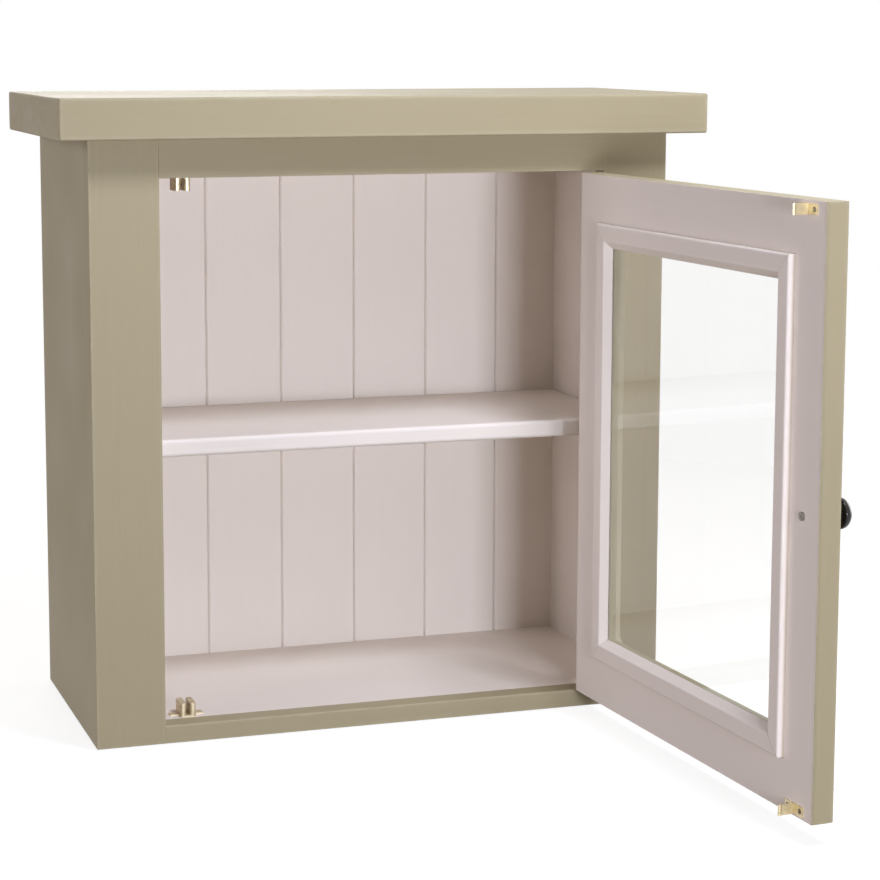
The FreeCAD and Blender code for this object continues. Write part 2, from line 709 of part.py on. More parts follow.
def knob(screw_blank):
    """A turned knob on the front of the door: foot, neck, flared underside, rim and domed face."""
    body = doc.addObject("PartDesign::Body", "knob_turning")
    profile = body.newObject("Sketcher::SketchObject", "knob_profile")
    plane = next(item for item in body.Origin.OriginFeatures if item.Role == "XY_Plane")
    profile.AttachmentSupport = [(plane, "")]
    profile.MapMode = "FlatFace"
    # The profile's height runs out of the door's front, and its radius runs along the front
    profile.AttachmentOffset = FreeCAD.Placement(FreeCAD.Vector(), FreeCAD.Rotation(FreeCAD.Vector(1, 0, 0), 180))
    bind(profile, "AttachmentOffset.Base.x", f"{DOOR_FREE} + knob_inset")
    bind(profile, "AttachmentOffset.Base.y", DOOR_FRONT)
    bind(profile, "AttachmentOffset.Base.z", KNOB_Z)
    underside = "knob_base_thick + knob_neck_length"
    rim = f"{underside} + knob_underside"
    corners = [
        ("knob_base / 2", None),
        ("knob_base / 2", "knob_base_thick"),
        ("knob_neck / 2", "knob_base_thick"),
        ("knob_neck / 2", underside),
        ("knob_head / 2", rim),
        ("knob_head / 2", f"{rim} + knob_rim"),
        (None, f"{rim} + knob_rim + knob_dome"),
    ]
    turned_outline(profile, corners)
    turning = body.newObject("PartDesign::Revolution", "knob_revolution")
    turning.Profile = profile
    turning.ReferenceAxis = (profile, ["V_Axis"])
    turning.Angle = 360
    doc.recompute()
    return cut("knob", body, screw_blank)


def turned_outline(profile, corners):
    """Draws a half outline on its axis, each corner at a radius and a height, with an arc as the last side."""
    origin, flat_axis, turning_axis = (-1, 1), -1, -2
    centre = FreeCAD.Vector(0, 0, 0)
    points = [centre]
    for radius, height in corners:
        points.append(FreeCAD.Vector(*(worth(text) if text else 0 for text in (radius, height)), 0))
    rim, apex = points[-2], points[-1]
    dome = apex.y - rim.y
    ball = (rim.x ** 2 + dome ** 2) / (2 * dome)
    crown = FreeCAD.Vector(0, apex.y - ball, 0)
    start = math.atan2(rim.y - crown.y, rim.x)
    sides = [Part.LineSegment(a, b) for a, b in zip(points[:-2], points[1:-1])]
    circle = Part.Circle(crown, FreeCAD.Vector(0, 0, 1), ball)
    sides.append(Part.ArcOfCircle(circle, start, math.pi / 2))
    sides.append(Part.LineSegment(apex, centre))
    profile.addGeometry(sides, False)
    last = len(sides) - 1
    tie = [Sketcher.Constraint("Coincident", 0, 1, *origin)]
    tie += [Sketcher.Constraint("Coincident", k, 2, k + 1, 1) for k in range(last)]
    tie.append(Sketcher.Constraint("Coincident", last, 2, *origin))
    tie.append(Sketcher.Constraint("PointOnObject", last - 1, 3, turning_axis))
    tie.append(Sketcher.Constraint("PointOnObject", last, 1, turning_axis))
    tie.append(Sketcher.Constraint("PointOnObject", 0, 2, flat_axis))
    profile.addConstraint(tie)
    for k, (corner, point) in enumerate(zip(corners, points[1:])):
        for kind, text, at in zip(("DistanceX", "DistanceY"), corner, (point.x, point.y)):
            if text:
                index = profile.addConstraint(Sketcher.Constraint(kind, *origin, k, 2, at))
                bind(profile, f"Constraints[{index}]", text)


def worth(text):
    """What a formula of the sizes comes to, to draw a first outline with."""
    probe = doc.addObject("Part::Box", "probe")
    bind(probe, "Length", text)
    probe.recompute()
    size = probe.Length.Value
    doc.removeObject(probe.Name)
    return size


# The carcass's fixed pieces
dowels = cornice_dowels()
pins = shelf_pins()
left_hanger, left_hanger_tools, left_hanger_screws = hanger(-1, "left_hanger")
right_hanger, right_hanger_tools, right_hanger_screws = hanger(1, "right_hanger")
boards, nails = back_boards(("base_thick / 2", f"{OPEN_TOP} + top_thick / 2"))
node("left_side_panel", side_panel("left_side", -1, (dowels, pins, *left_hanger_tools)))
node("right_side_panel", side_panel("right_side", 1, (dowels, pins, *right_hanger_tools)))
node("cornice_top", cornice(dowels))
node("cornice_dowels", dowels)
node("shelf", shelf())
node("shelf_pins", pins)
node("hanger_plates", group("hangers", (left_hanger, right_hanger)))
node("hanger_screws", group("hanger_screw_set", left_hanger_screws + right_hanger_screws))
for number, board in enumerate(boards, start=1):
    node(f"back_board_{number}", board)
node("back_board_nails", nails)

# The hinges
frame_screw_blanks, frame_screw_set, door_screw_blanks, door_screw_set = [], [], [], []
frame_recesses, door_recesses = [], []
for place in ("upper", "lower"):
    span_z = hinge_z(place == "upper")
    pin = rod(f"{place}_pin", "z", "pin_diameter / 2", span_z, ("0", "0"))
    running = rod(f"{place}_running", "z", "pin_diameter / 2 + pin_clearance", span_z, ("0", "0"))
    frame_blanks, frame_set = leaf_screws(f"{place}_frame_screw", 1, span_z)
    door_blanks, door_set = leaf_screws(f"{place}_door_screw", -1, span_z)
    frame_leaf = hinge_leaf(f"{place}_frame", 1, span_z, (0, 2, 4), pin, frame_blanks)
    door_leaf = hinge_leaf(f"{place}_door", -1, span_z, (1, 3), running, door_blanks)
    node(f"{place}_hinge_frame_leaf", at_axis(group(f"{place}_frame_leaf", [frame_leaf])))
    node(f"{place}_hinge_pin", at_axis(group(f"{place}_pin", [pin])))
    door_node(f"{place}_hinge_door_leaf", door_leaf)
    frame_screw_blanks.append(frame_blanks)
    frame_screw_set += frame_set
    frame_recesses.append(leaf_recess(f"{place}_frame_recess", 1, span_z))
    door_screw_blanks.append(door_blanks)
    door_screw_set += door_set
    door_recesses.append(leaf_recess(f"{place}_door_recess", -1, span_z))
frame_hinge_holes = at_axis(group("frame_hinge_holes", frame_recesses + frame_screw_blanks))
node("frame_hinge_screws", at_axis(group("frame_hinge_screw_set", frame_screw_set)))
door_node("door_hinge_screws", *door_screw_set)

# The face frame
top_rail_piece, top_mortise = face_rail("face_top", (OPEN_TOP, "carcass_height"))
bottom_rail_piece, bottom_mortise = face_rail("face_bottom", ("0", "base_thick"))
node("face_top_rail", top_rail_piece)
node("face_bottom_rail", bottom_rail_piece)
for word, direction, holes in (("left", -1, ()), ("right", 1, (frame_hinge_holes,))):
    stile_x = on_side(direction, OPEN_HALF, HALF)
    stile = block(f"{word}_stile_body", stile_x, (FRONT, BEHIND_FRAME), ("0", "carcass_height"))
    node(f"face_{word}_stile", cut(f"{word}_stile", stile, top_mortise, bottom_mortise, *holes))

# The catches, and the base and top that they are screwed to
catch_screw_set, adjuster_set, catch_holes = [], [], {}
for place, seat_plane, direction in (("bottom", "base_thick", 1), ("top", OPEN_TOP, -1)):
    body, balls, springs, adjusters, blanks, finished = catch(f"{place}_catch", seat_plane, direction)
    node(f"{place}_catch_body", body)
    for word, ball, spring in zip(("left", "right"), balls, springs):
        node(f"{place}_catch_{word}_ball", ball)
        node(f"{place}_catch_{word}_spring", spring)
    catch_screw_set += finished
    adjuster_set += adjusters
    catch_holes[place] = blanks
node("catch_screws", group("catch_screw_set", catch_screw_set))
node("catch_adjusters", group("catch_adjuster_set", adjuster_set))
node("base_panel", level_panel("base", ("0", "base_thick"), (nails, catch_holes["bottom"])))
node("top_panel", level_panel("top", (OPEN_TOP, f"{OPEN_TOP} + top_thick"), (nails, catch_holes["top"])))

# The door
strike_set, strike_holes = [], {}
for place, edge_plane, direction in (("bottom", DOOR_LOW, 1), ("top", DOOR_HIGH, -1)):
    piece, blanks, finished = strike(f"{place}_strike", edge_plane, direction)
    door_node(f"{place}_strike", piece)
    strike_set += finished
    strike_holes[place] = blanks
door_node("strike_screws", *strike_set)
knob_blank, knob_screw_piece = knob_screw()
door_node("door_knob", knob(knob_blank))
door_node("knob_screw", knob_screw_piece)
door_frame({
    "door_top_rail": (strike_holes["top"],),
    "door_bottom_rail": (strike_holes["bottom"],),
    "door_closing_stile": (knob_blank, *strike_holes.values()),
    "door_hinge_stile": (*door_recesses, *door_screw_blanks),
})
glazing_beads()

# Check every object, then write each sub-part
doc.recompute()
failed = [item.Name for item in doc.Objects if {"Invalid", "Error"} & set(item.State)]
if failed:
    raise RuntimeError(f"objects that failed: {failed}")
for label, piece in nodes.items():
    if piece.Label != label:
        raise RuntimeError(f"{label} came out as {piece.Label}")
    if piece.Shape.isNull() or not piece.Shape.isValid() or not piece.Shape.Solids:
        raise RuntimeError(f"{label} has no sound solid")
os.makedirs("parts", exist_ok=True)
for label, piece in nodes.items():
    piece.Shape.exportStep(f"parts/{label}.step")
    solids = len(piece.Shape.Solids)
    print(f"{label}: {solids} solid{'s' if solids > 1 else ''}, {piece.Shape.Volume:.1f} cubic mm")
print(f"{len(nodes)} sub-parts")
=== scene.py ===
"""The looks of a wall-hung kitchen cabinet with one glazed door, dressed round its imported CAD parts.

X runs to the right, Y to the back and Z up, in metres. Timbers are drawn as surfaces of two parameters:
a section eased at its corners, carried along the grain. The door's timbers are drawn closed, from the
hinge axis, and are then turned open as the CAD door is.
"""
import json
import math

import bpy
import numpy as np
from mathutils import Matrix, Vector


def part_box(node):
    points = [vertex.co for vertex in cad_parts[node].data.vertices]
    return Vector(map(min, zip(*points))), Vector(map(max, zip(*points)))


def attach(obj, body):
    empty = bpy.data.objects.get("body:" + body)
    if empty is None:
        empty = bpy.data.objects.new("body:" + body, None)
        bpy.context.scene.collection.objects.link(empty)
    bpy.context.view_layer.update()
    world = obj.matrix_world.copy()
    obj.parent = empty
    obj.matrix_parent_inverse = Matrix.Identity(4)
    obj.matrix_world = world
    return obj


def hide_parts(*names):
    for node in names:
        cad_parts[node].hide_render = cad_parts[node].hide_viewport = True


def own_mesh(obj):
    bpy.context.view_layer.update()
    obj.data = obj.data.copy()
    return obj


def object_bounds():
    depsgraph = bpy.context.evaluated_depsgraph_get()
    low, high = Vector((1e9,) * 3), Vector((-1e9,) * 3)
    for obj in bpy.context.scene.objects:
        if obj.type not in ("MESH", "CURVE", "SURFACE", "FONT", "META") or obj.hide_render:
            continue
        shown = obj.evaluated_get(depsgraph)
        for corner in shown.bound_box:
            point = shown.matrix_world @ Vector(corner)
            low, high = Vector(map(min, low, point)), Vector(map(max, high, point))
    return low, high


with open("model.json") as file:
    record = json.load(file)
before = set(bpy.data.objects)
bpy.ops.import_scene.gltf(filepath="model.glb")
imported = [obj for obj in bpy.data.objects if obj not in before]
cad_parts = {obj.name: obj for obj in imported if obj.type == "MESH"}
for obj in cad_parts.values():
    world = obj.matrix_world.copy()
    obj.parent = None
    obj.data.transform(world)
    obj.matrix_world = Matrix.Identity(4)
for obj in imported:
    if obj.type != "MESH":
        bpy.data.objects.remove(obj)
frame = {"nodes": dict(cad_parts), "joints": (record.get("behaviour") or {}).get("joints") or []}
cad_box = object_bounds()

MM = 0.001

# How timber edges are eased, as the length taken off each side of a corner
SOFT_ARRIS = 1.1 * MM
FINE_ARRIS = 0.6 * MM
JOINT_ARRIS = 0.12 * MM
CORNICE_ARRIS = 2.2 * MM
VEE_ARRIS = 0.35 * MM
BEVEL_ARRIS = 0.3 * MM
SHELF_NOSE = 4.0 * MM
BEAD_ROUND = 2.5 * MM
BEAD_CREST = 0.7 * MM
BEAD_FOOT = 0.15 * MM
# A step too small to see, which keeps corners of a section apart
BARELY = 0.02 * MM

# How an eased corner is divided, and how much of a side it may take
EASE_STEPS = 5
EASE_SHARE = 0.42
SIDE_SHARE = 0.49
EDGE_GUARD = 0.25 * MM
GUARD_MASK = 0.9
WEAR_AND_HIGHLIGHT_REACH = 3.5 * MM

# Back boards, and the painted shade deepening into their V joints
BOARD_VEE = 1.8 * MM
BOARD_GAP = 0.1 * MM
GAP_DEPTH = 2.2 * MM
NAIL_STAND = 0.15 * MM
VEE_SHADE = 0.25
VEE_SHADE_FROM = 0.3 * MM
VEE_SHADE_DEPTH = 1.1 * MM

# Door section, from the line where the glass comes into sight, the dirt on it, and the painted shade in the
# bead quirks
DOOR_MEMBER = 70 * MM
FRONT_BEVEL = 10 * MM
GLASS_REBATE = 12 * MM
GLASS_THICK = 4 * MM
BEAD_LAP = 1.5 * MM
BEAD_FLAT = 16.5 * MM
HANDLING_SOIL = 0.5
HANDLING_REACH = 0.9 * MM
QUIRK_SHADE = 1.4
QUIRK_HEIGHT = 2.4 * MM

# Keyhole plates in the rear edges of the sides
HANGER_MARGIN = 2 * MM
HANGER_THICK = 2 * MM
POCKET_WIDTH = 11 * MM
POCKET_DEPTH = 10 * MM
POCKET_FROM = 12.5 * MM
POCKET_TO = 37 * MM

# Knob: radius and height of each turning up to the head's underside, and the head itself
KNOB_TURNINGS = np.array([(8.0, 0), (8.0, 2.5), (5.5, 3.2), (5.2, 6.5), (6.0, 9.6)]) * MM
KNOB_DOME = 8.5 * MM
KNOB_RIM = 1.4 * MM
KNOB_UNDERCUT = 0.8 * MM
DOME_STEPS = 14
KNOB_FINENESS = 4
KNOB_SMOOTHINGS = 3
KNOB_SIDES = 96

# Catch springs
SPRING_WIRE = 0.6 * MM
SPRING_TURNS = 4
TURN_STEPS = 28
WIRE_SIDES = 10

# Camera
CAMERA_PLACE = (-0.7152, -2.3527, 0.6928)
CAMERA_YAW = math.radians(17.642)
CAMERA_PITCH = math.radians(7.691)
CAMERA_LENS = 96.18
CAMERA_SENSOR = 36
CAMERA_SHIFT = (0.07, -0.095)
CAMERA_REACH = 50

# Floor and room
FLOOR_DROP = 1.0 * MM
FLOOR_REACH = 9.0
FLOOR_POINTS = 5
FLOOR_GLOW = 0.85
SHADOW_WHOLE = 0.7
SHADOW_END = 1.5
ROOM_LIGHT = 0.06
ROOM_TINT = (1, 0.7, 0.45, 1)

# Lamps
MIDDLE = (0, 0, 0.3)
COOL = (0.98, 1.02, 1.18)
COOL_SIDE = (0.98, 0.95, 1.09)
WHITE = (1, 1, 1)


def joint(name):
    """A joint of the frame, by its name."""
    return next(item for item in frame["joints"] if item["name"] == name)


DOOR_SWING = joint("door_swing")
HINGE_AXIS = np.array(DOOR_SWING["pos_m"][:2])
OPEN_ANGLE = math.radians(-DOOR_SWING["range_deg"][0])


# Colours

def srgb(red, green, blue):
    """A colour as seen on a screen, from 0 to 255, turned into linear light."""
    shown = np.array([red, green, blue]) / 255
    linear = np.where(shown <= 0.04045, shown / 12.92, ((shown + 0.055) / 1.055) ** 2.4)
    return (*linear.tolist(), 1.0)


# Node trees

def feed(tree, socket, value):
    """Links another node's output to a socket, or sets a plain value on it."""
    if isinstance(value, bpy.types.NodeSocket):
        tree.links.new(value, socket)
    else:
        socket.default_value = value


def add(tree, kind, wires=None, **settings):
    """One node with its settings, and with what each of its sockets is fed."""
    made = tree.nodes.new(kind)
    for key, value in settings.items():
        setattr(made, key, value)
    for key, value in (wires or {}).items():
        feed(tree, made.inputs[key], value)
    return made


def new_group(name, inputs, outputs):
    """An empty shader node group with named sockets: its tree, and its input and output nodes."""
    tree = bpy.data.node_groups.new(name, "ShaderNodeTree")
    for label, (kind, value) in inputs.items():
        socket = tree.interface.new_socket(label, in_out="INPUT", socket_type=kind)
        if value is not None:
            socket.default_value = value
    for label, kind in outputs.items():
        tree.interface.new_socket(label, in_out="OUTPUT", socket_type=kind)
    return tree, tree.nodes.new("NodeGroupInput"), tree.nodes.new("NodeGroupOutput")


def placed_group(tree, group, **wires):
    """The outputs of a node group placed in a material."""
    return add(tree, "ShaderNodeGroup", wires, node_tree=group).outputs


def stretched(tree, vector, scale):
    """A vector with each of its directions scaled, so that a pattern runs along the grain."""
    return add(tree, "ShaderNodeVectorMath", {0: vector, 1: scale}, operation="MULTIPLY").outputs[0]


def noise(tree, vector, scale=1.0, detail=3.0, roughness=0.55, distortion=0.0):
    """The value of a noise pattern at a vector."""
    shape = {"Scale": scale, "Detail": detail, "Roughness": roughness, "Distortion": distortion}
    return add(tree, "ShaderNodeTexNoise", {"Vector": vector, **shape}).outputs[0]


def math_node(tree, operation, *values, clamp=False):
    """One sum, product or other step of arithmetic."""
    made = add(tree, "ShaderNodeMath", dict(enumerate(values)), operation=operation, use_clamp=clamp)
    return made.outputs[0]


def weighed(tree, first, second, share):
    """Two values added up, the first by its share and the second by the rest."""
    parts = (math_node(tree, "MULTIPLY", first, share), math_node(tree, "MULTIPLY", second, 1 - share))
    return math_node(tree, "ADD", *parts)


def ranged(tree, value, low=0.0, high=1.0, to_low=0.0, to_high=1.0):
    """A value moved from one range to another, and held inside it."""
    wires = {0: value, 1: low, 2: high, 3: to_low, 4: to_high}
    return add(tree, "ShaderNodeMapRange", wires, clamp=True).outputs[0]


def mixed(tree, share, first, second, blend="MIX"):
    """Two colours mixed by a share; a Mix node has its colours at sockets 6 and 7, and puts them out at 2."""
    wires = {0: share, 6: first, 7: second}
    return add(tree, "ShaderNodeMix", wires, data_type="RGBA", blend_type=blend).outputs[2]


# Patterns

# How often each pattern repeats in a metre: along the piece, across it, and through it
PAINT_GRAIN = (7, 210, 1)
BRUSH_MARKS = (16, 900, 1)
EDGE_RUB = (38, 90, 1)
RING_WANDER = (0.8, 13, 1)
WOOD_FIBRE = (9, 900, 1)
WIPING_MARKS = (14, 14, 5)
# Growth rings crossed over the whole range of their pattern, and how narrow the late wood is
RING_COUNT = 19.0
RING_POWER = 3.0
# Between these lie most values of a noise pattern
NOISE_LOW, NOISE_HIGH = 0.3, 0.7


def brushed_paint_group():
    """Brush marks and grain under paint: streaks along the first direction, and broad patches."""
    tree, given, result = new_group(
        "brushed_paint",
        {"Along": ("NodeSocketVector", None), "Streak": ("NodeSocketFloat", 0.5)},
        {"Tone": "NodeSocketFloat", "Sheen": "NodeSocketFloat", "Height": "NodeSocketFloat"},
    )
    along = given.outputs["Along"]
    grain = noise(tree, stretched(tree, along, PAINT_GRAIN), detail=4.0, roughness=0.6, distortion=0.6)
    brush = noise(tree, stretched(tree, along, BRUSH_MARKS), detail=2.0)
    patch = noise(tree, along, scale=9.0, roughness=0.5)
    cloud = noise(tree, along, scale=2.3, detail=2.0, roughness=0.5)
    streaks = weighed(tree, grain, brush, 0.6)
    broad = weighed(tree, patch, cloud, 0.5)
    choice = {0: given.outputs["Streak"], 2: broad, 3: streaks}
    tone = add(tree, "ShaderNodeMix", choice, data_type="FLOAT").outputs[0]
    feed(tree, result.inputs["Tone"], ranged(tree, tone, NOISE_LOW, NOISE_HIGH))
    feed(tree, result.inputs["Sheen"], ranged(tree, patch, NOISE_LOW, NOISE_HIGH))
    feed(tree, result.inputs["Height"], streaks)
    return tree


def arris_wear_and_highlight_group():
    """Where paint is worn along an eased edge and painted lighter as a highlight: the edge mask, broken up by
    noise along the timber.
    """
    tree, given, result = new_group(
        "arris_wear_and_highlight",
        {"Along": ("NodeSocketVector", None), "Edge": ("NodeSocketFloat", 0.0)},
        {"WearAndHighlight": "NodeSocketFloat"},
    )
    rub = noise(tree, stretched(tree, given.outputs["Along"], EDGE_RUB), detail=4.0, roughness=0.65)
    near = math_node(tree, "POWER", given.outputs["Edge"], 2.0)
    broken = ranged(tree, rub, low=0.36, high=0.66, to_low=0.25)
    feed(tree, result.inputs["WearAndHighlight"], math_node(tree, "MULTIPLY", near, broken, clamp=True))
    return tree


def metal_patina_group():
    """Handled metal: a tarnish mask, and a fine unevenness for its gloss."""
    tree, given, result = new_group(
        "metal_patina",
        {"At": ("NodeSocketVector", None)},
        {"Tarnish": "NodeSocketFloat", "Uneven": "NodeSocketFloat"},
    )
    film = noise(tree, given.outputs["At"], scale=220.0, detail=4.0, roughness=0.6, distortion=0.4)
    feed(tree, result.inputs["Tarnish"], ranged(tree, film, low=0.42, high=0.72))
    feed(tree, result.inputs["Uneven"], noise(tree, given.outputs["At"], scale=1400.0, detail=2.0))
    return tree


def pine_figure_group():
    """Flat-sawn softwood: rings as contours of a long smooth pattern, fibres, and one board's tone."""
    tree, given, result = new_group(
        "pine_figure",
        {"Along": ("NodeSocketVector", None)},
        {"Rings": "NodeSocketFloat", "Fibre": "NodeSocketFloat", "Board": "NodeSocketFloat"},
    )
    along = given.outputs["Along"]
    at = stretched(tree, along, RING_WANDER)
    wander = noise(tree, at, detail=1.0, roughness=0.35, distortion=0.15)
    bands = math_node(tree, "PINGPONG", math_node(tree, "MULTIPLY", wander, RING_COUNT), 1.0)
    fibre = noise(tree, stretched(tree, along, WOOD_FIBRE), roughness=0.6)
    board = noise(tree, along, scale=0.9, detail=0.0)
    feed(tree, result.inputs["Rings"], math_node(tree, "POWER", bands, RING_POWER))
    feed(tree, result.inputs["Fibre"], fibre)
    feed(tree, result.inputs["Board"], ranged(tree, board, NOISE_LOW, NOISE_HIGH))
    return tree


BRUSHED = brushed_paint_group()
WEAR_AND_HIGHLIGHT = arris_wear_and_highlight_group()
PATINA = metal_patina_group()
FIGURE = pine_figure_group()


# Materials

# Eggshell paint: how streaked it is, its gloss, and how far a worn arris goes lighter, as wear and as a
# painted highlight
PAINT_STREAK = 0.45
PAINT_ROUGHNESS = (0.45, 0.56)
PAINT_SPECULAR = 0.12
PAINT_WEAR_AND_HIGHLIGHT = 0.42
# Other finishes
PINE_ROUGHNESS = (0.62, 0.78)
TARNISH_ROUGHER = 0.18
GLASS_ROUGHNESS = 0.006
GLASS_IOR = 1.45


def show(tree, shader):
    """Makes a shader node the one that the material shows."""
    out = next(item for item in tree.nodes if item.type == "OUTPUT_MATERIAL")
    tree.links.new(shader.outputs[0], out.inputs["Surface"])


def new_material(name):
    """A material with an empty tree: the material, its tree and its Principled shader."""
    material = bpy.data.materials.new(name)
    material.use_nodes = True
    tree = material.node_tree
    tree.nodes.clear()
    shader = add(tree, "ShaderNodeBsdfPrincipled")
    add(tree, "ShaderNodeOutputMaterial")
    show(tree, shader)
    return material, tree, shader


def along_timber(tree):
    """A piece's own map, with the grain along its first direction."""
    return add(tree, "ShaderNodeUVMap", uv_map="grain").outputs[0]


def through_piece(tree):
    """Object coordinates."""
    return add(tree, "ShaderNodeTexCoord").outputs["Object"]


def mask(tree, name):
    """A mask that a piece's points carry."""
    return add(tree, "ShaderNodeAttribute", attribute_name=name).outputs["Fac"]


def bumped(tree, shader, height, strength, distance):
    """A bump on the shader from a height pattern."""
    bump = add(tree, "ShaderNodeBump", {"Height": height, "Strength": strength, "Distance": distance})
    feed(tree, shader.inputs["Normal"], bump.outputs[0])


def paint(name, deep, pale, bare, grime_and_shade):
    """Eggshell paint brushed on in two near tones, lighter at the arrises as wear and as a painted highlight,
    and darkened in the joints by dirt and painted shade.
    """
    material, tree, shader = new_material(name)
    along = along_timber(tree)
    brushed = placed_group(tree, BRUSHED, Along=along, Streak=PAINT_STREAK)
    wear_and_highlight = placed_group(tree, WEAR_AND_HIGHLIGHT, Along=along, Edge=mask(tree, "arris"))["WearAndHighlight"]
    coat = mixed(tree, brushed["Tone"], deep, pale)
    # The lighter tone on the arrises stands partly for worn paint and partly for a painted highlight.
    thinned_and_lit = mixed(tree, math_node(tree, "MULTIPLY", wear_and_highlight, PAINT_WEAR_AND_HIGHLIGHT), coat, bare)
    patchy = ranged(tree, brushed["Sheen"], to_low=0.8)
    # This darkening mask holds real dirt and also painted shade in the V joints and bead quirks.
    settled_and_shaded = math_node(tree, "MULTIPLY", mask(tree, "soil_and_shade"), patchy)
    low, high = PAINT_ROUGHNESS
    feed(tree, shader.inputs["Base Color"], mixed(tree, settled_and_shaded, thinned_and_lit, grime_and_shade))
    feed(tree, shader.inputs["Roughness"], ranged(tree, brushed["Sheen"], to_low=low, to_high=high))
    shader.inputs["Specular IOR Level"].default_value = PAINT_SPECULAR
    bumped(tree, shader, brushed["Height"], 0.22, 0.25 * MM)
    return material


def pine(name, coordinates):
    """Bare softwood: early and late wood by its rings, toned board by board, and soiled in the joints."""
    material, tree, shader = new_material(name)
    figure = placed_group(tree, FIGURE, Along=coordinates(tree))
    early = mixed(tree, figure["Fibre"], srgb(208, 181, 142), srgb(226, 201, 163))
    late = mixed(tree, figure["Fibre"], srgb(188, 152, 108), srgb(202, 168, 124))
    wood = mixed(tree, figure["Rings"], early, late)
    aged = mixed(tree, figure["Board"], wood, srgb(230, 213, 190), "MULTIPLY")
    low, high = PINE_ROUGHNESS
    feed(tree, shader.inputs["Base Color"], mixed(tree, mask(tree, "soil_and_shade"), aged, srgb(70, 50, 32)))
    feed(tree, shader.inputs["Roughness"], ranged(tree, figure["Fibre"], 0.2, 0.8, low, high))
    bumped(tree, shader, figure["Fibre"], 0.25, 0.2 * MM)
    return material


def metal(name, bright, dull, rough, metallic=1.0):
    """Metal with a patchy film of tarnish and a slightly uneven gloss."""
    material, tree, shader = new_material(name)
    patina = placed_group(tree, PATINA, At=through_piece(tree))
    gloss = ranged(tree, patina["Tarnish"], to_low=rough, to_high=rough + TARNISH_ROUGHER)
    feed(tree, shader.inputs["Base Color"], mixed(tree, patina["Tarnish"], bright, dull))
    feed(tree, shader.inputs["Roughness"], gloss)
    shader.inputs["Metallic"].default_value = metallic
    bumped(tree, shader, patina["Uneven"], 0.08, 0.05 * MM)
    return material


def clear_glass():
    """Clear float glass that lets lamps through, with a trace of wiping marks in its gloss."""
    material, tree, shader = new_material("clear_glass")
    shader.inputs["Base Color"].default_value = (0.99, 1, 0.995, 1)
    shader.inputs["IOR"].default_value = GLASS_IOR
    shader.inputs["Transmission Weight"].default_value = 1.0
    wipe = noise(tree, stretched(tree, through_piece(tree), WIPING_MARKS))
    feed(tree, shader.inputs["Roughness"], ranged(tree, wipe, 0.45, 0.75, to_high=GLASS_ROUGHNESS))
    through = add(tree, "ShaderNodeBsdfTransparent", {"Color": (0.96, 0.98, 0.97, 1)})
    path = add(tree, "ShaderNodeLightPath").outputs
    lighting = math_node(tree, "ADD", path["Is Shadow Ray"], path["Is Diffuse Ray"], clamp=True)
    show(tree, add(tree, "ShaderNodeMixShader", {0: lighting, 1: shader.outputs[0], 2: through.outputs[0]}))
    return material


SAGE = paint("sage_paint", deep=srgb(173, 162, 131), pale=srgb(181, 170, 138),
             bare=srgb(197, 188, 160), grime_and_shade=srgb(112, 100, 78))
CREAM = paint("cream_paint", deep=srgb(243, 234, 224), pale=srgb(247, 239, 230),
              bare=srgb(249, 243, 236), grime_and_shade=srgb(176, 158, 138))
PINE = pine("bare_pine", along_timber)
PINE_ROD = pine("bare_pine_rod", through_piece)
BRASS = metal("brass", srgb(214, 200, 164), srgb(184, 168, 130), 0.36, 0.85)
PALE_BRASS = metal("pale_brass", srgb(218, 205, 174), srgb(184, 169, 136), 0.38, 0.75)
STEEL = metal("steel", srgb(178, 176, 172), srgb(122, 119, 115), 0.28)
DARK_STEEL = metal("dark_steel", srgb(112, 106, 98), srgb(66, 60, 52), 0.36)
BRONZE = metal("dark_bronze", srgb(34, 31, 27), srgb(22, 20, 18), 0.14, 0.2)
GLASS = clear_glass()


# Where the CAD pieces are

def span(node):
    """The lowest and highest corner of a carcass node."""
    return np.array(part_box(node))


def turned(points, angle):
    """Points turned about the Z axis by an angle."""
    cosine, sine = math.cos(angle), math.sin(angle)
    x, y, z = points[..., 0], points[..., 1], points[..., 2]
    return np.stack([x * cosine - y * sine, x * sine + y * cosine, z], -1)


def door_span(node):
    """The lowest and highest corner of a door node with the door closed, measured from the hinge axis."""
    mesh = frame["nodes"][node].data
    points = np.empty(len(mesh.vertices) * 3)
    mesh.vertices.foreach_get("co", points)
    closed = turned(points.reshape(-1, 3) - (*HINGE_AXIS, 0), -OPEN_ANGLE)
    return np.array([closed.min(0), closed.max(0)])


def opened(points):
    """Points of the closed door turned about the hinge axis to where the door stands."""
    return turned(points, OPEN_ANGLE) + (*HINGE_AXIS, 0)


# Surfaces

def inset(outline, amount):
    """A closed outline drawn in by an amount: each corner goes to where its two moved sides meet."""
    after = np.roll(outline, -1, axis=-2) - outline
    after /= np.linalg.norm(after, axis=-1, keepdims=True)
    normal = np.stack([after[..., 1], -after[..., 0]], -1)
    before = np.roll(normal, 1, axis=-2)
    meeting = 1 + (normal * before).sum(-1, keepdims=True)
    return outline - amount * (normal + before) / meeting


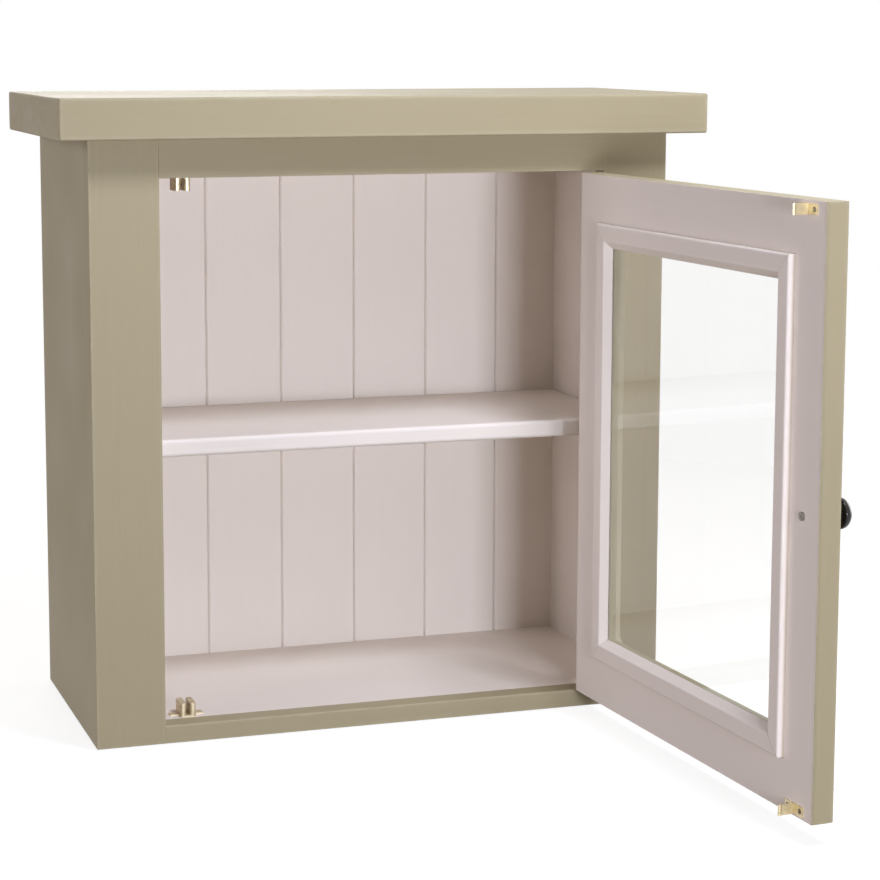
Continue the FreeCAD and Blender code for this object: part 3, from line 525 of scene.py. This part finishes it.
def eased(outline, ease):
    """Each corner of a closed outline becomes a quadratic curve between points on its two sides.

    Two more points on each side of the curve keep the flats flat and end the worn strip with its painted
    highlight.
    Gives the points and how far each one counts as edge.
    """
    to_next = np.roll(outline, -1, axis=-2) - outline
    length = np.linalg.norm(to_next, axis=-1, keepdims=True)
    ahead = to_next / length
    behind = -np.roll(ahead, 1, axis=-2)
    length_behind = np.roll(length, 1, axis=-2)
    take = np.minimum(np.asarray(ease)[:, None], EASE_SHARE * np.minimum(length, length_behind))
    step = np.linspace(0, 1, EASE_STEPS + 1)[:, None]

    def on_side(direction, side_length, extra):
        return outline + direction * np.minimum(take + extra, SIDE_SHARE * side_length)

    start, end = on_side(behind, length_behind, 0), on_side(ahead, length, 0)
    curve = ((1 - step) ** 2 * start[..., None, :] + 2 * step * (1 - step) * outline[..., None, :]
             + step ** 2 * end[..., None, :])
    lead = np.stack([on_side(behind, length_behind, extra) for extra in (WEAR_AND_HIGHLIGHT_REACH, EDGE_GUARD)], -2)
    trail = np.stack([on_side(ahead, length, extra) for extra in (EDGE_GUARD, WEAR_AND_HIGHLIGHT_REACH)], -2)
    points = np.concatenate([lead, curve, trail], -2)
    across_corner = np.r_[0, GUARD_MASK, np.ones(EASE_STEPS + 1), GUARD_MASK, 0]
    edge = np.outer(np.asarray(ease) > JOINT_ARRIS, across_corner)
    return points.reshape(*outline.shape[:-2], -1, 2), edge.ravel()


def carried(lengths, outlines, ease, end_ease):
    """A section carried along the grain, with quarter-round ends that draw the section in as they turn.

    Gives, for each station and point round the section: place along the grain, place in the section, edge.
    """
    turn = np.linspace(0, math.pi / 2, EASE_STEPS + 1)
    over_end = np.r_[GUARD_MASK, np.ones(EASE_STEPS + 1), GUARD_MASK, 0]
    rings, places, edges = [], [], []
    for outline, end, sign, radius in ((outlines[0], lengths[0], 1, end_ease[0]),
                                       (outlines[-1], lengths[-1], -1, end_ease[1])):
        inward = np.r_[radius + EDGE_GUARD, radius * (1 - np.sin(turn)), 0, 0]
        along = np.r_[0, radius * (1 - np.cos(turn)), radius + EDGE_GUARD, radius + WEAR_AND_HIGHLIGHT_REACH]
        rings.append(np.stack([inset(outline, amount) for amount in inward])[::sign])
        places.append((end + sign * along)[::sign])
        edges.append((radius > JOINT_ARRIS) * over_end[::sign])
    middle = slice(1, len(lengths) - 1)
    sections = np.concatenate([rings[0], outlines[middle], rings[1]])
    at = np.concatenate([places[0], lengths[middle], places[1]])
    end_edge = np.concatenate([edges[0], np.zeros(len(lengths) - 2), edges[1]])
    points, round_edge = eased(sections, ease)
    return at, points, np.maximum(end_edge[:, None], round_edge[None, :])


def grain_map(run, section):
    """Each face's corners on a map: the run along the grain, and the way round the section."""
    middle = section[len(section) // 2]
    girth = np.linalg.norm(np.diff(middle, axis=0, append=middle[:1]), axis=1)
    across = np.r_[0, np.cumsum(girth)]
    corner = np.stack([run, np.broadcast_to(across[:-1], run.shape)], -1)
    corner_next = np.stack([np.roll(run, -1, 1), np.broadcast_to(across[1:], run.shape)], -1)
    return np.stack([corner[:-1], corner[1:], corner_next[1:], corner_next[:-1]], -2).reshape(-1, 4, 2)


def place_in_pattern(name):
    """How far a piece's map is moved, by the letters of its name, so that no two timbers look alike."""
    letters = sum(ord(letter) * number for number, letter in enumerate(name, 1))
    return np.array([letters % 97 * 0.37, len(name) * 0.61])


def end_caps(points, grid):
    """The two flat ends of a timber, facing outwards, and the direction that the first one looks along."""
    first, last = grid[0], grid[-1][::-1]
    looking = points[grid[0]].mean(0) - points[grid[-1]].mean(0)
    spokes = points[first] - points[first].mean(0)
    if np.cross(spokes, np.roll(spokes, -1, axis=0)).sum(0) @ looking < 0:
        first, last = first[::-1], last[::-1]
    return first, last, looking


# The finishes of a timber's faces, and how nearly a face looks along a direction to take the finish there
TIMBER_FINISHES = (SAGE, CREAM, PINE)
SAGE_FACE, CREAM_FACE, PINE_FACE = 0, 1, 2
LOOKS_ALONG = 0.72
SMALLEST_AREA = 1e-12


def face_finishes(looking, rules):
    """Each face's finish: the rules' first, or that of the last direction in them that it looks along."""
    looking = looking / np.maximum(np.linalg.norm(looking, axis=1, keepdims=True), SMALLEST_AREA)
    finish = np.full(len(looking), rules[0], np.int32)
    for direction, tone in rules[1:]:
        finish[looking @ np.array(direction, float) > LOOKS_ALONG] = tone
    return finish


def unsoiled_unshaded(first, second):
    """A section with no dirt and no painted shade."""
    return np.zeros_like(first)


def timber(name, lengths, outlines, place, ease, end_ease, body, node, rules, slot, mitre=0, soil_and_shade=unsoiled_unshaded):
    """One timber: its section carried along the grain, closed by flat ends, and painted face by face.

    A mitre of 1 makes each point's run longer by its own distance across the section, at both ends.
    rules names the finish of the faces that look along a direction, the first being that of the rest.
    soil_and_shade gives how dark a point of the section is made, by dirt and by painted shade, from 0 to 1.
    """
    lengths = np.asarray(lengths, float)
    outlines = np.asarray(outlines, float)
    if outlines.ndim == 2:
        outlines = np.repeat(outlines[None], len(lengths), 0)
    at, section, edge = carried(lengths, outlines, ease, end_ease)
    stations, around = section.shape[:2]
    ends = np.where(np.arange(stations) < stations / 2, -1, 1)
    run = at[:, None] + mitre * ends[:, None] * section[..., 0]
    points = place(run, section[..., 0], section[..., 1]).reshape(-1, 3)
    grid = np.arange(stations * around).reshape(stations, around)
    beside = np.roll(grid, -1, axis=1)
    quads = np.stack([grid[:-1], grid[1:], beside[1:], beside[:-1]], -1).reshape(-1, 4)
    quad_map = grain_map(run, section)
    faces = points[quads]
    outward = np.cross(faces[:, 2] - faces[:, 0], faces[:, 3] - faces[:, 1])
    if (outward * faces.mean(1)).sum() - (outward * points.mean(0)).sum() < 0:
        quads, quad_map, outward = quads[:, ::-1], quad_map[:, ::-1], -outward
    first_cap, last_cap, looking = end_caps(points, grid)
    flat = section.reshape(-1, 2)
    maps = np.concatenate([quad_map.reshape(-1, 2), flat[first_cap], flat[last_cap]])
    finish = face_finishes(np.concatenate([outward, [looking, -looking]]), rules)
    masks = {"arris": edge, "soil_and_shade": soil_and_shade(section[..., 0], section[..., 1])}
    return solid(name, opened(points) if body == "door" else points,
                 quads.tolist() + [first_cap.tolist(), last_cap.tolist()], maps + place_in_pattern(name),
                 masks, finish, TIMBER_FINISHES, body, slot, node)


def solid(name, points, faces, maps, masks, finish, materials, body, slot, *nodes):
    """A mesh piece with its map, its masks and its finishes, riding on a body in place of its nodes."""
    mesh = bpy.data.meshes.new(name)
    mesh.from_pydata(points.tolist(), [], faces)
    layer = mesh.uv_layers.new(name="grain")
    layer.data.foreach_set("uv", np.asarray(maps, np.float32).ravel())
    for label, values in masks.items():
        carrier = mesh.attributes.new(label, "FLOAT", "POINT")
        carrier.data.foreach_set("value", np.asarray(values, np.float32).ravel())
    for material in materials:
        mesh.materials.append(material)
    mesh.polygons.foreach_set("material_index", np.asarray(finish, np.int32))
    mesh.polygons.foreach_set("use_smooth", np.ones(len(faces), bool))
    mesh.update()
    piece = bpy.data.objects.new(name, mesh)
    bpy.context.scene.collection.objects.link(piece)
    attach(piece, body)
    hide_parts(*nodes)
    return piece


def plain_solid(name, points, faces, material, body, slot, node):
    """A mesh piece of one material that has no map or mask."""
    corners = sum(len(face) for face in faces)
    return solid(name, points, faces, np.zeros((corners, 2)), {}, np.zeros(len(faces)), (material,),
                 body, slot, node)


def ring_faces(grid):
    """The quads of a grid that closes on itself round its second direction."""
    beside = np.roll(grid, -1, axis=1)
    return np.stack([grid[:-1], beside[:-1], beside[1:], grid[1:]], -1).reshape(-1, 4).tolist()


def rectangle(low, high):
    """The four corners of a rectangle, in turn."""
    return np.array([(low[0], low[1]), (high[0], low[1]), (high[0], high[1]), (low[0], high[1])])


def upright(run, first, second):
    """Grain up the Z axis, with the section in X and Y."""
    return np.stack([first, second, run], -1)


def level(run, first, second):
    """Grain along the X axis, with the section in Y and Z."""
    return np.stack([run, first, second], -1)


INWARD = {"left": (1, 0, 0), "right": (-1, 0, 0)}
TO_BACK, UP, DOWN = (0, 1, 0), (0, 0, 1), (0, 0, -1)
CREAM_BEHIND = (SAGE_FACE, (TO_BACK, CREAM_FACE))
PINE_BEHIND = (CREAM_FACE, *((look, PINE_FACE) for look in (TO_BACK, (0.7, 0.7, 0), (-0.7, 0.7, 0))))


# Carcass

def side_panel(word):
    """One side, with the recess and pocket of its keyhole plate in the rear edge."""
    low, high = span(f"{word}_side_panel")
    plate_low, plate_high = span("hanger_plates")[:, 2]
    middle = (low[0] + high[0]) / 2
    half_plate = (high[0] - low[0]) / 2 - HANGER_MARGIN
    pocket_low, pocket_high = plate_low + POCKET_FROM, plate_low + POCKET_TO
    whole = (BARELY, 2 * BARELY)
    recessed = (HANGER_THICK, HANGER_THICK + BARELY)
    pocketed = (HANGER_THICK, POCKET_DEPTH)
    steps = [
        (low[2], whole), (plate_low - BARELY, whole),
        (plate_low, recessed), (pocket_low - BARELY, recessed),
        (pocket_low, pocketed), (pocket_high, pocketed),
        (pocket_high + BARELY, recessed), (plate_high, recessed),
        (plate_high + BARELY, whole), (high[2], whole),
    ]
    rear = high[1]
    half_pocket = POCKET_WIDTH / 2
    sections = [[
        (low[0], low[1]), (high[0], low[1]), (high[0], rear),
        (middle + half_plate, rear), (middle + half_plate, rear - recess),
        (middle + half_pocket, rear - recess), (middle + half_pocket, rear - pocket),
        (middle - half_pocket, rear - pocket), (middle - half_pocket, rear - recess),
        (middle - half_plate, rear - recess), (middle - half_plate, rear), (low[0], rear),
    ] for _, (recess, pocket) in steps]
    ease = [JOINT_ARRIS, JOINT_ARRIS, FINE_ARRIS, *[BARELY] * 8, FINE_ARRIS]
    timber(f"{word}_side", [at for at, _ in steps], sections, upright, ease, (FINE_ARRIS, JOINT_ARRIS),
           "carcass", f"{word}_side_panel", (SAGE_FACE, (INWARD[word], CREAM_FACE)), "sage_paint")


def face_stile(word):
    """One stile of the face frame; its outer rear corner meets the side."""
    low, high = span(f"face_{word}_stile")
    outer, inner = (0, 1) if word == "left" else (1, 0)
    front = {outer: SOFT_ARRIS, inner: FINE_ARRIS}
    rear = {outer: JOINT_ARRIS, inner: FINE_ARRIS}
    ease = [front[0], front[1], rear[1], rear[0]]
    timber(f"{word}_stile", [low[2], high[2]], rectangle(low, high), upright, ease,
           (FINE_ARRIS, JOINT_ARRIS), "carcass", f"face_{word}_stile", CREAM_BEHIND, "sage_paint")


def face_rail(word, ease):
    """One rail of the face frame, between the stiles."""
    low, high = span(f"face_{word}_rail")
    ends = [span("face_left_stile")[1, 0], span("face_right_stile")[0, 0]]
    timber(f"{word}_rail", ends, rectangle(low[1:], high[1:]), level, ease, (BARELY, BARELY),
           "carcass", f"face_{word}_rail", CREAM_BEHIND, "sage_paint")


def level_panel(word, looking):
    """The base or the top, between the sides, cream on the face that looks into the cabinet."""
    low, high = span(f"{word}_panel")
    ends = [span("left_side_panel")[1, 0], span("right_side_panel")[0, 0]]
    timber(f"{word}_board", ends, rectangle(low[1:], high[1:]), level, [JOINT_ARRIS] * 4, (BARELY, BARELY),
           "carcass", f"{word}_panel", (SAGE_FACE, (looking, CREAM_FACE)), "sage_paint")


def back_board(number, last):
    """One back board, painted in front and unpainted behind: a V off each joint, with a gap at its foot."""
    low, high = span(f"back_board_{number}")
    if number < last:
        high[0] = span(f"back_board_{number + 1}")[0, 0]
    front, rear = low[1], high[1] - NAIL_STAND
    joined = (number > 1, number < last)
    gap_left, gap_right = (BOARD_GAP if meets else BARELY for meets in joined)
    vee_left, vee_right = (BOARD_VEE if meets else 2 * BARELY for meets in joined)
    section = [
        (low[0] + vee_left, front), (high[0] - vee_right, front),
        (high[0] - gap_right, front + vee_right - gap_right), (high[0] - gap_right, front + GAP_DEPTH),
        (high[0], front + GAP_DEPTH), (high[0], rear), (low[0], rear), (low[0], front + GAP_DEPTH),
        (low[0] + gap_left, front + GAP_DEPTH), (low[0] + gap_left, front + vee_left - gap_left),
    ]
    ease = [VEE_ARRIS, VEE_ARRIS, *[BARELY] * 3, SOFT_ARRIS, SOFT_ARRIS, *[BARELY] * 3]

    def soil_and_shade(first, second):
        """Painted shade darkens from the face down to the foot of the V, and dirt fills the joint behind."""
        deep = np.clip((second - front - VEE_SHADE_FROM) / VEE_SHADE_DEPTH, 0, 1)
        # Painted shade: darker the deeper a point lies in the V.
        vee_shade = VEE_SHADE * deep * (second < front + 2 * GAP_DEPTH)
        from_joint = np.minimum(first - low[0], high[0] - first)
        behind = (second > rear - 2 * SOFT_ARRIS) * np.clip(1 - from_joint / SOFT_ARRIS, 0, 1)
        return np.maximum(vee_shade, behind)

    timber(f"back_plank_{number}", [low[2], high[2]], section, upright, ease, (FINE_ARRIS, JOINT_ARRIS),
           "carcass", f"back_board_{number}", PINE_BEHIND, "cream_paint", soil_and_shade=soil_and_shade)


def cornice_board():
    """The thick top board, eased all round."""
    low, high = span("cornice_top")
    timber("cornice_board", [low[0], high[0]], rectangle(low[1:], high[1:]), level, [CORNICE_ARRIS] * 4,
           (CORNICE_ARRIS, CORNICE_ARRIS), "carcass", "cornice_top", (SAGE_FACE,), "sage_paint")


def shelf_board():
    """The shelf, with a rounded nose."""
    low, high = span("shelf")
    ease = [SHELF_NOSE, FINE_ARRIS, FINE_ARRIS, SHELF_NOSE]
    timber("shelf_board", [low[0], high[0]], rectangle(low[1:], high[1:]), level, ease,
           (FINE_ARRIS, FINE_ARRIS), "carcass", "shelf", (CREAM_FACE,), "cream_paint")


# Door

DOOR_LOW, DOOR_HIGH = np.array([door_span("door_closing_stile")[0], door_span("door_hinge_stile")[1]])
SIGHT_X = (DOOR_LOW[0] + DOOR_MEMBER, DOOR_HIGH[0] - DOOR_MEMBER)
SIGHT_Z = (DOOR_LOW[2] + DOOR_MEMBER, DOOR_HIGH[2] - DOOR_MEMBER)
DOOR_EASE = [SOFT_ARRIS, FINE_ARRIS, BARELY, BARELY, BARELY, BEVEL_ARRIS, BEVEL_ARRIS]

# For each side of the door: whether it runs up, the plane it is measured from, and which way is outwards
AROUND = {
    "hinge": (True, SIGHT_X[1], 1),
    "closing": (True, SIGHT_X[0], -1),
    "top": (False, SIGHT_Z[1], 1),
    "bottom": (False, SIGHT_Z[0], -1),
}


def door_place(side):
    """Places a member's run, its distance out from the sight line and its depth on the closed door."""
    up, plane, outward = AROUND[side]

    def place(run, out, depth):
        across = plane + outward * out
        return np.stack([across, depth, run] if up else [run, depth, across], -1)

    return place


def member_section(bevel, rebate, seat):
    """A door member's corners: outer edge, back, glass rebate, sight edge and front bevel."""
    front, back = DOOR_LOW[1], DOOR_HIGH[1]
    return [
        (DOOR_MEMBER, front), (DOOR_MEMBER, back), (rebate, back), (rebate, back - seat),
        (0, back - seat), (0, front + bevel), (bevel, front),
    ]


WHOLE = (FRONT_BEVEL, GLASS_REBATE, GLASS_THICK)
PLAIN = (BARELY, BARELY, BARELY)
REBATED = (BARELY, GLASS_REBATE, GLASS_THICK)


def door_rail(side):
    """One rail, between the stiles' sight lines, with its bevel and rebate all along."""
    timber(f"door_{side}_bar", SIGHT_X, member_section(*WHOLE), door_place(side), DOOR_EASE,
           (BARELY, BARELY), "door", f"door_{side}_rail", CREAM_BEHIND, "sage_paint")


def door_stile(side):
    """One stile, whose bevel runs out at a mitre and whose rebate stops square beyond the opening."""
    low, high = SIGHT_Z
    steps = [
        (DOOR_LOW[2], PLAIN),
        (low - GLASS_REBATE - BARELY, PLAIN),
        (low - GLASS_REBATE, REBATED),
        (low - FRONT_BEVEL, REBATED),
        (low, WHOLE),
        (high, WHOLE),
        (high + FRONT_BEVEL, REBATED),
        (high + GLASS_REBATE, REBATED),
        (high + GLASS_REBATE + BARELY, PLAIN),
        (DOOR_HIGH[2], PLAIN),
    ]

    def soil_and_shade(first, second):
        """Handling marks along the outer rear arris, where the two paints meet."""
        away = np.hypot(first - DOOR_MEMBER, second - DOOR_HIGH[1])
        return HANDLING_SOIL * np.exp(-away / HANDLING_REACH)

    timber(f"door_{side}_post", [at for at, _ in steps], [member_section(*cut) for _, cut in steps],
           door_place(side), DOOR_EASE, (FINE_ARRIS, FINE_ARRIS), "door", f"door_{side}_stile",
           CREAM_BEHIND, "sage_paint", soil_and_shade=soil_and_shade)


def glazing_bead(side):
    """One mitred bead on the back of the door: a slope up from the glass, a flat and a rounded outer edge."""
    up = AROUND[side][0]
    node = f"bead_{side}_side" if up else f"bead_{side}"
    low, high = door_span(node)
    width = (high - low)[[0, 2]].min()
    foot, top = low[1], high[1]
    outer = width - BEAD_LAP
    section = [(-BEAD_LAP, foot), (outer - BEAD_FLAT, top), (outer, top), (outer, foot)]
    ease = [BEAD_FOOT, BEAD_CREST, BEAD_ROUND, BEAD_FOOT]

    def soil_and_shade(first, second):
        """Painted shade in the quirk where the outer edge stands on the door."""
        return (first > outer - BARELY) * np.clip(QUIRK_SHADE - (second - foot) / QUIRK_HEIGHT, 0, 1)

    timber(f"glazing_{side}", SIGHT_Z if up else SIGHT_X, section, door_place(side), ease, (BARELY, BARELY),
           "door", node, (CREAM_FACE,), "cream_paint", mitre=1, soil_and_shade=soil_and_shade)


# Knob and springs

def turned_knob():
    """The knob: a smoothed half outline of radius and height, carried once round its own axis."""
    low, high = door_span("door_knob")
    centre = (low + high) / 2
    head = (high[0] - low[0]) / 2
    rim = high[1] - low[1] - KNOB_DOME
    edge = [(head - KNOB_UNDERCUT, rim - KNOB_RIM - KNOB_UNDERCUT), (head, rim - KNOB_RIM), (head, rim)]
    rise = np.linspace(0, 1, DOME_STEPS)[1:-1] * math.pi / 2
    crown = np.stack([head * np.cos(rise), rim + KNOB_DOME * np.sin(rise)], 1)
    line = np.concatenate([KNOB_TURNINGS, edge, crown])
    fine = np.linspace(0, len(line) - 1, KNOB_FINENESS * len(line))
    soft = np.stack([np.interp(fine, np.arange(len(line)), line[:, k]) for k in (0, 1)], 1)
    for _ in range(KNOB_SMOOTHINGS):
        soft[1:-1] = (soft[:-2] + 2 * soft[1:-1] + soft[2:]) / 4
    angle = np.linspace(0, 2 * math.pi, KNOB_SIDES, endpoint=False)
    radius, height = soft[:, 0, None], soft[:, 1, None]
    points = np.stack([
        centre[0] + radius * np.cos(angle),
        np.broadcast_to(high[1] - height, (len(soft), KNOB_SIDES)),
        centre[2] + radius * np.sin(angle),
    ], -1).reshape(-1, 3)
    apex = (centre[0], low[1], centre[2])
    grid = np.arange(len(points)).reshape(-1, KNOB_SIDES)
    tip = np.stack([grid[-1], np.roll(grid[-1], -1), np.full(KNOB_SIDES, len(points))], -1)
    faces = ring_faces(grid) + tip.tolist() + [grid[0][::-1].tolist()]
    plain_solid("turned_knob", opened(np.concatenate([points, [apex]])), faces, BRONZE, "door",
                "dark_bronze", "door_knob")


def coil_spring(place, word):
    """A catch spring: a round wire carried along a helix."""
    low, high = span(f"{place}_catch_{word}_spring")
    centre = (low + high) / 2
    wire = SPRING_WIRE / 2
    radius = (high[2] - low[2]) / 2 - wire
    turn = np.linspace(0, 2 * math.pi * SPRING_TURNS, TURN_STEPS * SPRING_TURNS + 1)
    outward = np.stack([np.zeros_like(turn), np.cos(turn), np.sin(turn)], -1)
    path = centre + radius * outward
    path[:, 0] = np.linspace(low[0] + wire, high[0] - wire, len(turn))
    forward = np.gradient(path, axis=0)
    forward /= np.linalg.norm(forward, axis=1, keepdims=True)
    beside = np.cross(forward, outward)
    angle = np.linspace(0, 2 * math.pi, WIRE_SIDES, endpoint=False)[None, :, None]
    points = path[:, None] + wire * (np.cos(angle) * outward[:, None] + np.sin(angle) * beside[:, None])
    grid = np.arange(len(turn) * WIRE_SIDES).reshape(-1, WIRE_SIDES)
    faces = ring_faces(grid) + [grid[0][::-1].tolist(), grid[-1].tolist()]
    coil = plain_solid(f"{place}_{word}_coil", points.reshape(-1, 3), faces, STEEL, "carcass", "steel",
                       f"{place}_catch_{word}_spring")
    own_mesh(coil)


for word in ("left", "right"):
    side_panel(word)
    face_stile(word)
face_rail("top", [FINE_ARRIS, JOINT_ARRIS, JOINT_ARRIS, JOINT_ARRIS])
face_rail("bottom", [FINE_ARRIS, JOINT_ARRIS, JOINT_ARRIS, SOFT_ARRIS])
level_panel("base", UP)
level_panel("top", DOWN)
cornice_board()
shelf_board()
board_count = sum(name.startswith("back_board_") and name[-1].isdigit() for name in frame["nodes"])
for number in range(1, board_count + 1):
    back_board(number, board_count)
for side in ("top", "bottom"):
    door_rail(side)
for side in ("hinge", "closing"):
    door_stile(side)
for side in AROUND:
    glazing_bead(side)
turned_knob()
for place in ("top", "bottom"):
    for word in ("left", "right"):
        coil_spring(place, word)

# Finishes of the CAD pieces that show as they are: the last word here that is in a node's name holds
FINISHES = {
    "hinge": BRASS,
    "catch_body": PALE_BRASS,
    "catch_screws": BRASS,
    "catch_adjusters": BRASS,
    "strike": BRASS,
    "strike_screws": DARK_STEEL,
    "ball": STEEL,
    "nails": STEEL,
    "hanger": STEEL,
    "pins": STEEL,
    "knob_screw": STEEL,
    "dowels": PINE_ROD,
    "glass": GLASS,
}
for name, piece in frame["nodes"].items():
    if not piece.hide_render:
        finish = [material for word, material in FINISHES.items() if word in name][-1]
        piece.data.materials.clear()
        piece.data.materials.append(finish)


# Stage

def seen_directly(tree):
    """1 for a ray from the camera, from a mirror or through glass, and 0 for one that only brings light."""
    path = add(tree, "ShaderNodeLightPath").outputs
    direct = math_node(tree, "ADD", path["Is Camera Ray"], path["Is Glossy Ray"])
    return math_node(tree, "ADD", direct, path["Is Transmission Ray"], clamp=True)


def floor_finish():
    """A floor that shows white apart from the shadow near the cabinet, and throws warm light up."""
    material, tree, shader = new_material("pale_floor")
    at = through_piece(tree)
    seen = seen_directly(tree)
    tone = mixed(tree, noise(tree, at, scale=3.0), srgb(136, 135, 133), srgb(142, 141, 139))
    feed(tree, shader.inputs["Base Color"], mixed(tree, seen, srgb(112, 94, 62), tone))
    shader.inputs["Roughness"].default_value = 0.9
    shader.inputs["Specular IOR Level"].default_value = 0.1
    glow = add(tree, "ShaderNodeEmission", {"Strength": FLOOR_GLOW})
    white = add(tree, "ShaderNodeEmission", {"Strength": 1.0})
    lifted = add(tree, "ShaderNodeAddShader", {0: shader.outputs[0], 1: glow.outputs[0]})
    away = add(tree, "ShaderNodeVectorMath", {0: at}, operation="LENGTH").outputs["Value"]
    far = ranged(tree, away, SHADOW_WHOLE, SHADOW_END)
    shown = add(tree, "ShaderNodeMixShader", {0: far, 1: lifted.outputs[0], 2: white.outputs[0]})
    show(tree, add(tree, "ShaderNodeMixShader", {0: seen, 1: shader.outputs[0], 2: shown.outputs[0]}))
    return material


def pale_floor():
    """A level sheet just under the cabinet, as a square grid of points."""
    side = np.linspace(-FLOOR_REACH, FLOOR_REACH, FLOOR_POINTS)
    x, y = np.meshgrid(side, side, indexing="ij")
    points = np.stack([x, y, np.full_like(x, cad_box[0].z - FLOOR_DROP)], -1).reshape(-1, 3)
    grid = np.arange(FLOOR_POINTS ** 2).reshape(FLOOR_POINTS, FLOOR_POINTS)
    quads = np.stack([grid[:-1, :-1], grid[1:, :-1], grid[1:, 1:], grid[:-1, 1:]], -1).reshape(-1, 4)
    mesh = bpy.data.meshes.new("floor")
    mesh.from_pydata(points.tolist(), [], quads.tolist())
    mesh.materials.append(floor_finish())
    floor = bpy.data.objects.new("floor", mesh)
    bpy.context.scene.collection.objects.link(floor)


def studio_world():
    """An even dim room that shows white behind the cabinet."""
    world = bpy.data.worlds.new("studio")
    world.use_nodes = True
    tree = world.node_tree
    tree.nodes.clear()
    dim = add(tree, "ShaderNodeBackground", {"Color": ROOM_TINT, "Strength": ROOM_LIGHT})
    white = add(tree, "ShaderNodeBackground", {"Color": (*WHITE, 1), "Strength": 1.0})
    seen = seen_directly(tree)
    both = add(tree, "ShaderNodeMixShader", {0: seen, 1: dim.outputs[0], 2: white.outputs[0]})
    add(tree, "ShaderNodeOutputWorld", {"Surface": both.outputs[0]})
    bpy.context.scene.world = world


def softbox(name, place, aim, size, watts, tint):
    """A square soft lamp aimed at a point."""
    lamp = bpy.data.lights.new(name, "AREA")
    lamp.shape = "SQUARE"
    lamp.size = size
    lamp.energy = watts
    lamp.color = tint
    stand = bpy.data.objects.new(name, lamp)
    stand.location = place
    stand.rotation_euler = (Vector(aim) - Vector(place)).to_track_quat("-Z", "Y").to_euler()
    stand.visible_camera = False
    bpy.context.scene.collection.objects.link(stand)


def camera():
    """The camera at the photograph's viewing angle."""
    lens = bpy.data.cameras.new("camera")
    lens.sensor_width = CAMERA_SENSOR
    lens.lens = CAMERA_LENS
    lens.shift_x, lens.shift_y = CAMERA_SHIFT
    lens.clip_end = CAMERA_REACH
    looking = Vector((math.sin(CAMERA_YAW) * math.cos(CAMERA_PITCH),
                      math.cos(CAMERA_YAW) * math.cos(CAMERA_PITCH), -math.sin(CAMERA_PITCH)))
    stand = bpy.data.objects.new("camera", lens)
    stand.location = CAMERA_PLACE
    stand.rotation_euler = looking.to_track_quat("-Z", "Y").to_euler()
    bpy.context.scene.collection.objects.link(stand)
    bpy.context.scene.camera = stand


camera()
pale_floor()
studio_world()
softbox("overhead", place=(0.39, -0.95, 1.69), aim=(-0.05, -0.1, 0.3), size=0.35, watts=16, tint=COOL)
softbox("front", place=(0.05, -2.7, 0.43), aim=MIDDLE, size=0.55, watts=31.5, tint=COOL)
softbox("left", place=(-5.0, -0.9, 0.8), aim=MIDDLE, size=3.4, watts=119, tint=COOL_SIDE)
softbox("right", place=(3.0, 0.5, 0.9), aim=MIDDLE, size=2.0, watts=43, tint=WHITE)
softbox("rear", place=(0.2, 2.9, 2.2), aim=MIDDLE, size=1.4, watts=44, tint=WHITE)
bpy.context.scene.view_settings.view_transform = "Standard"
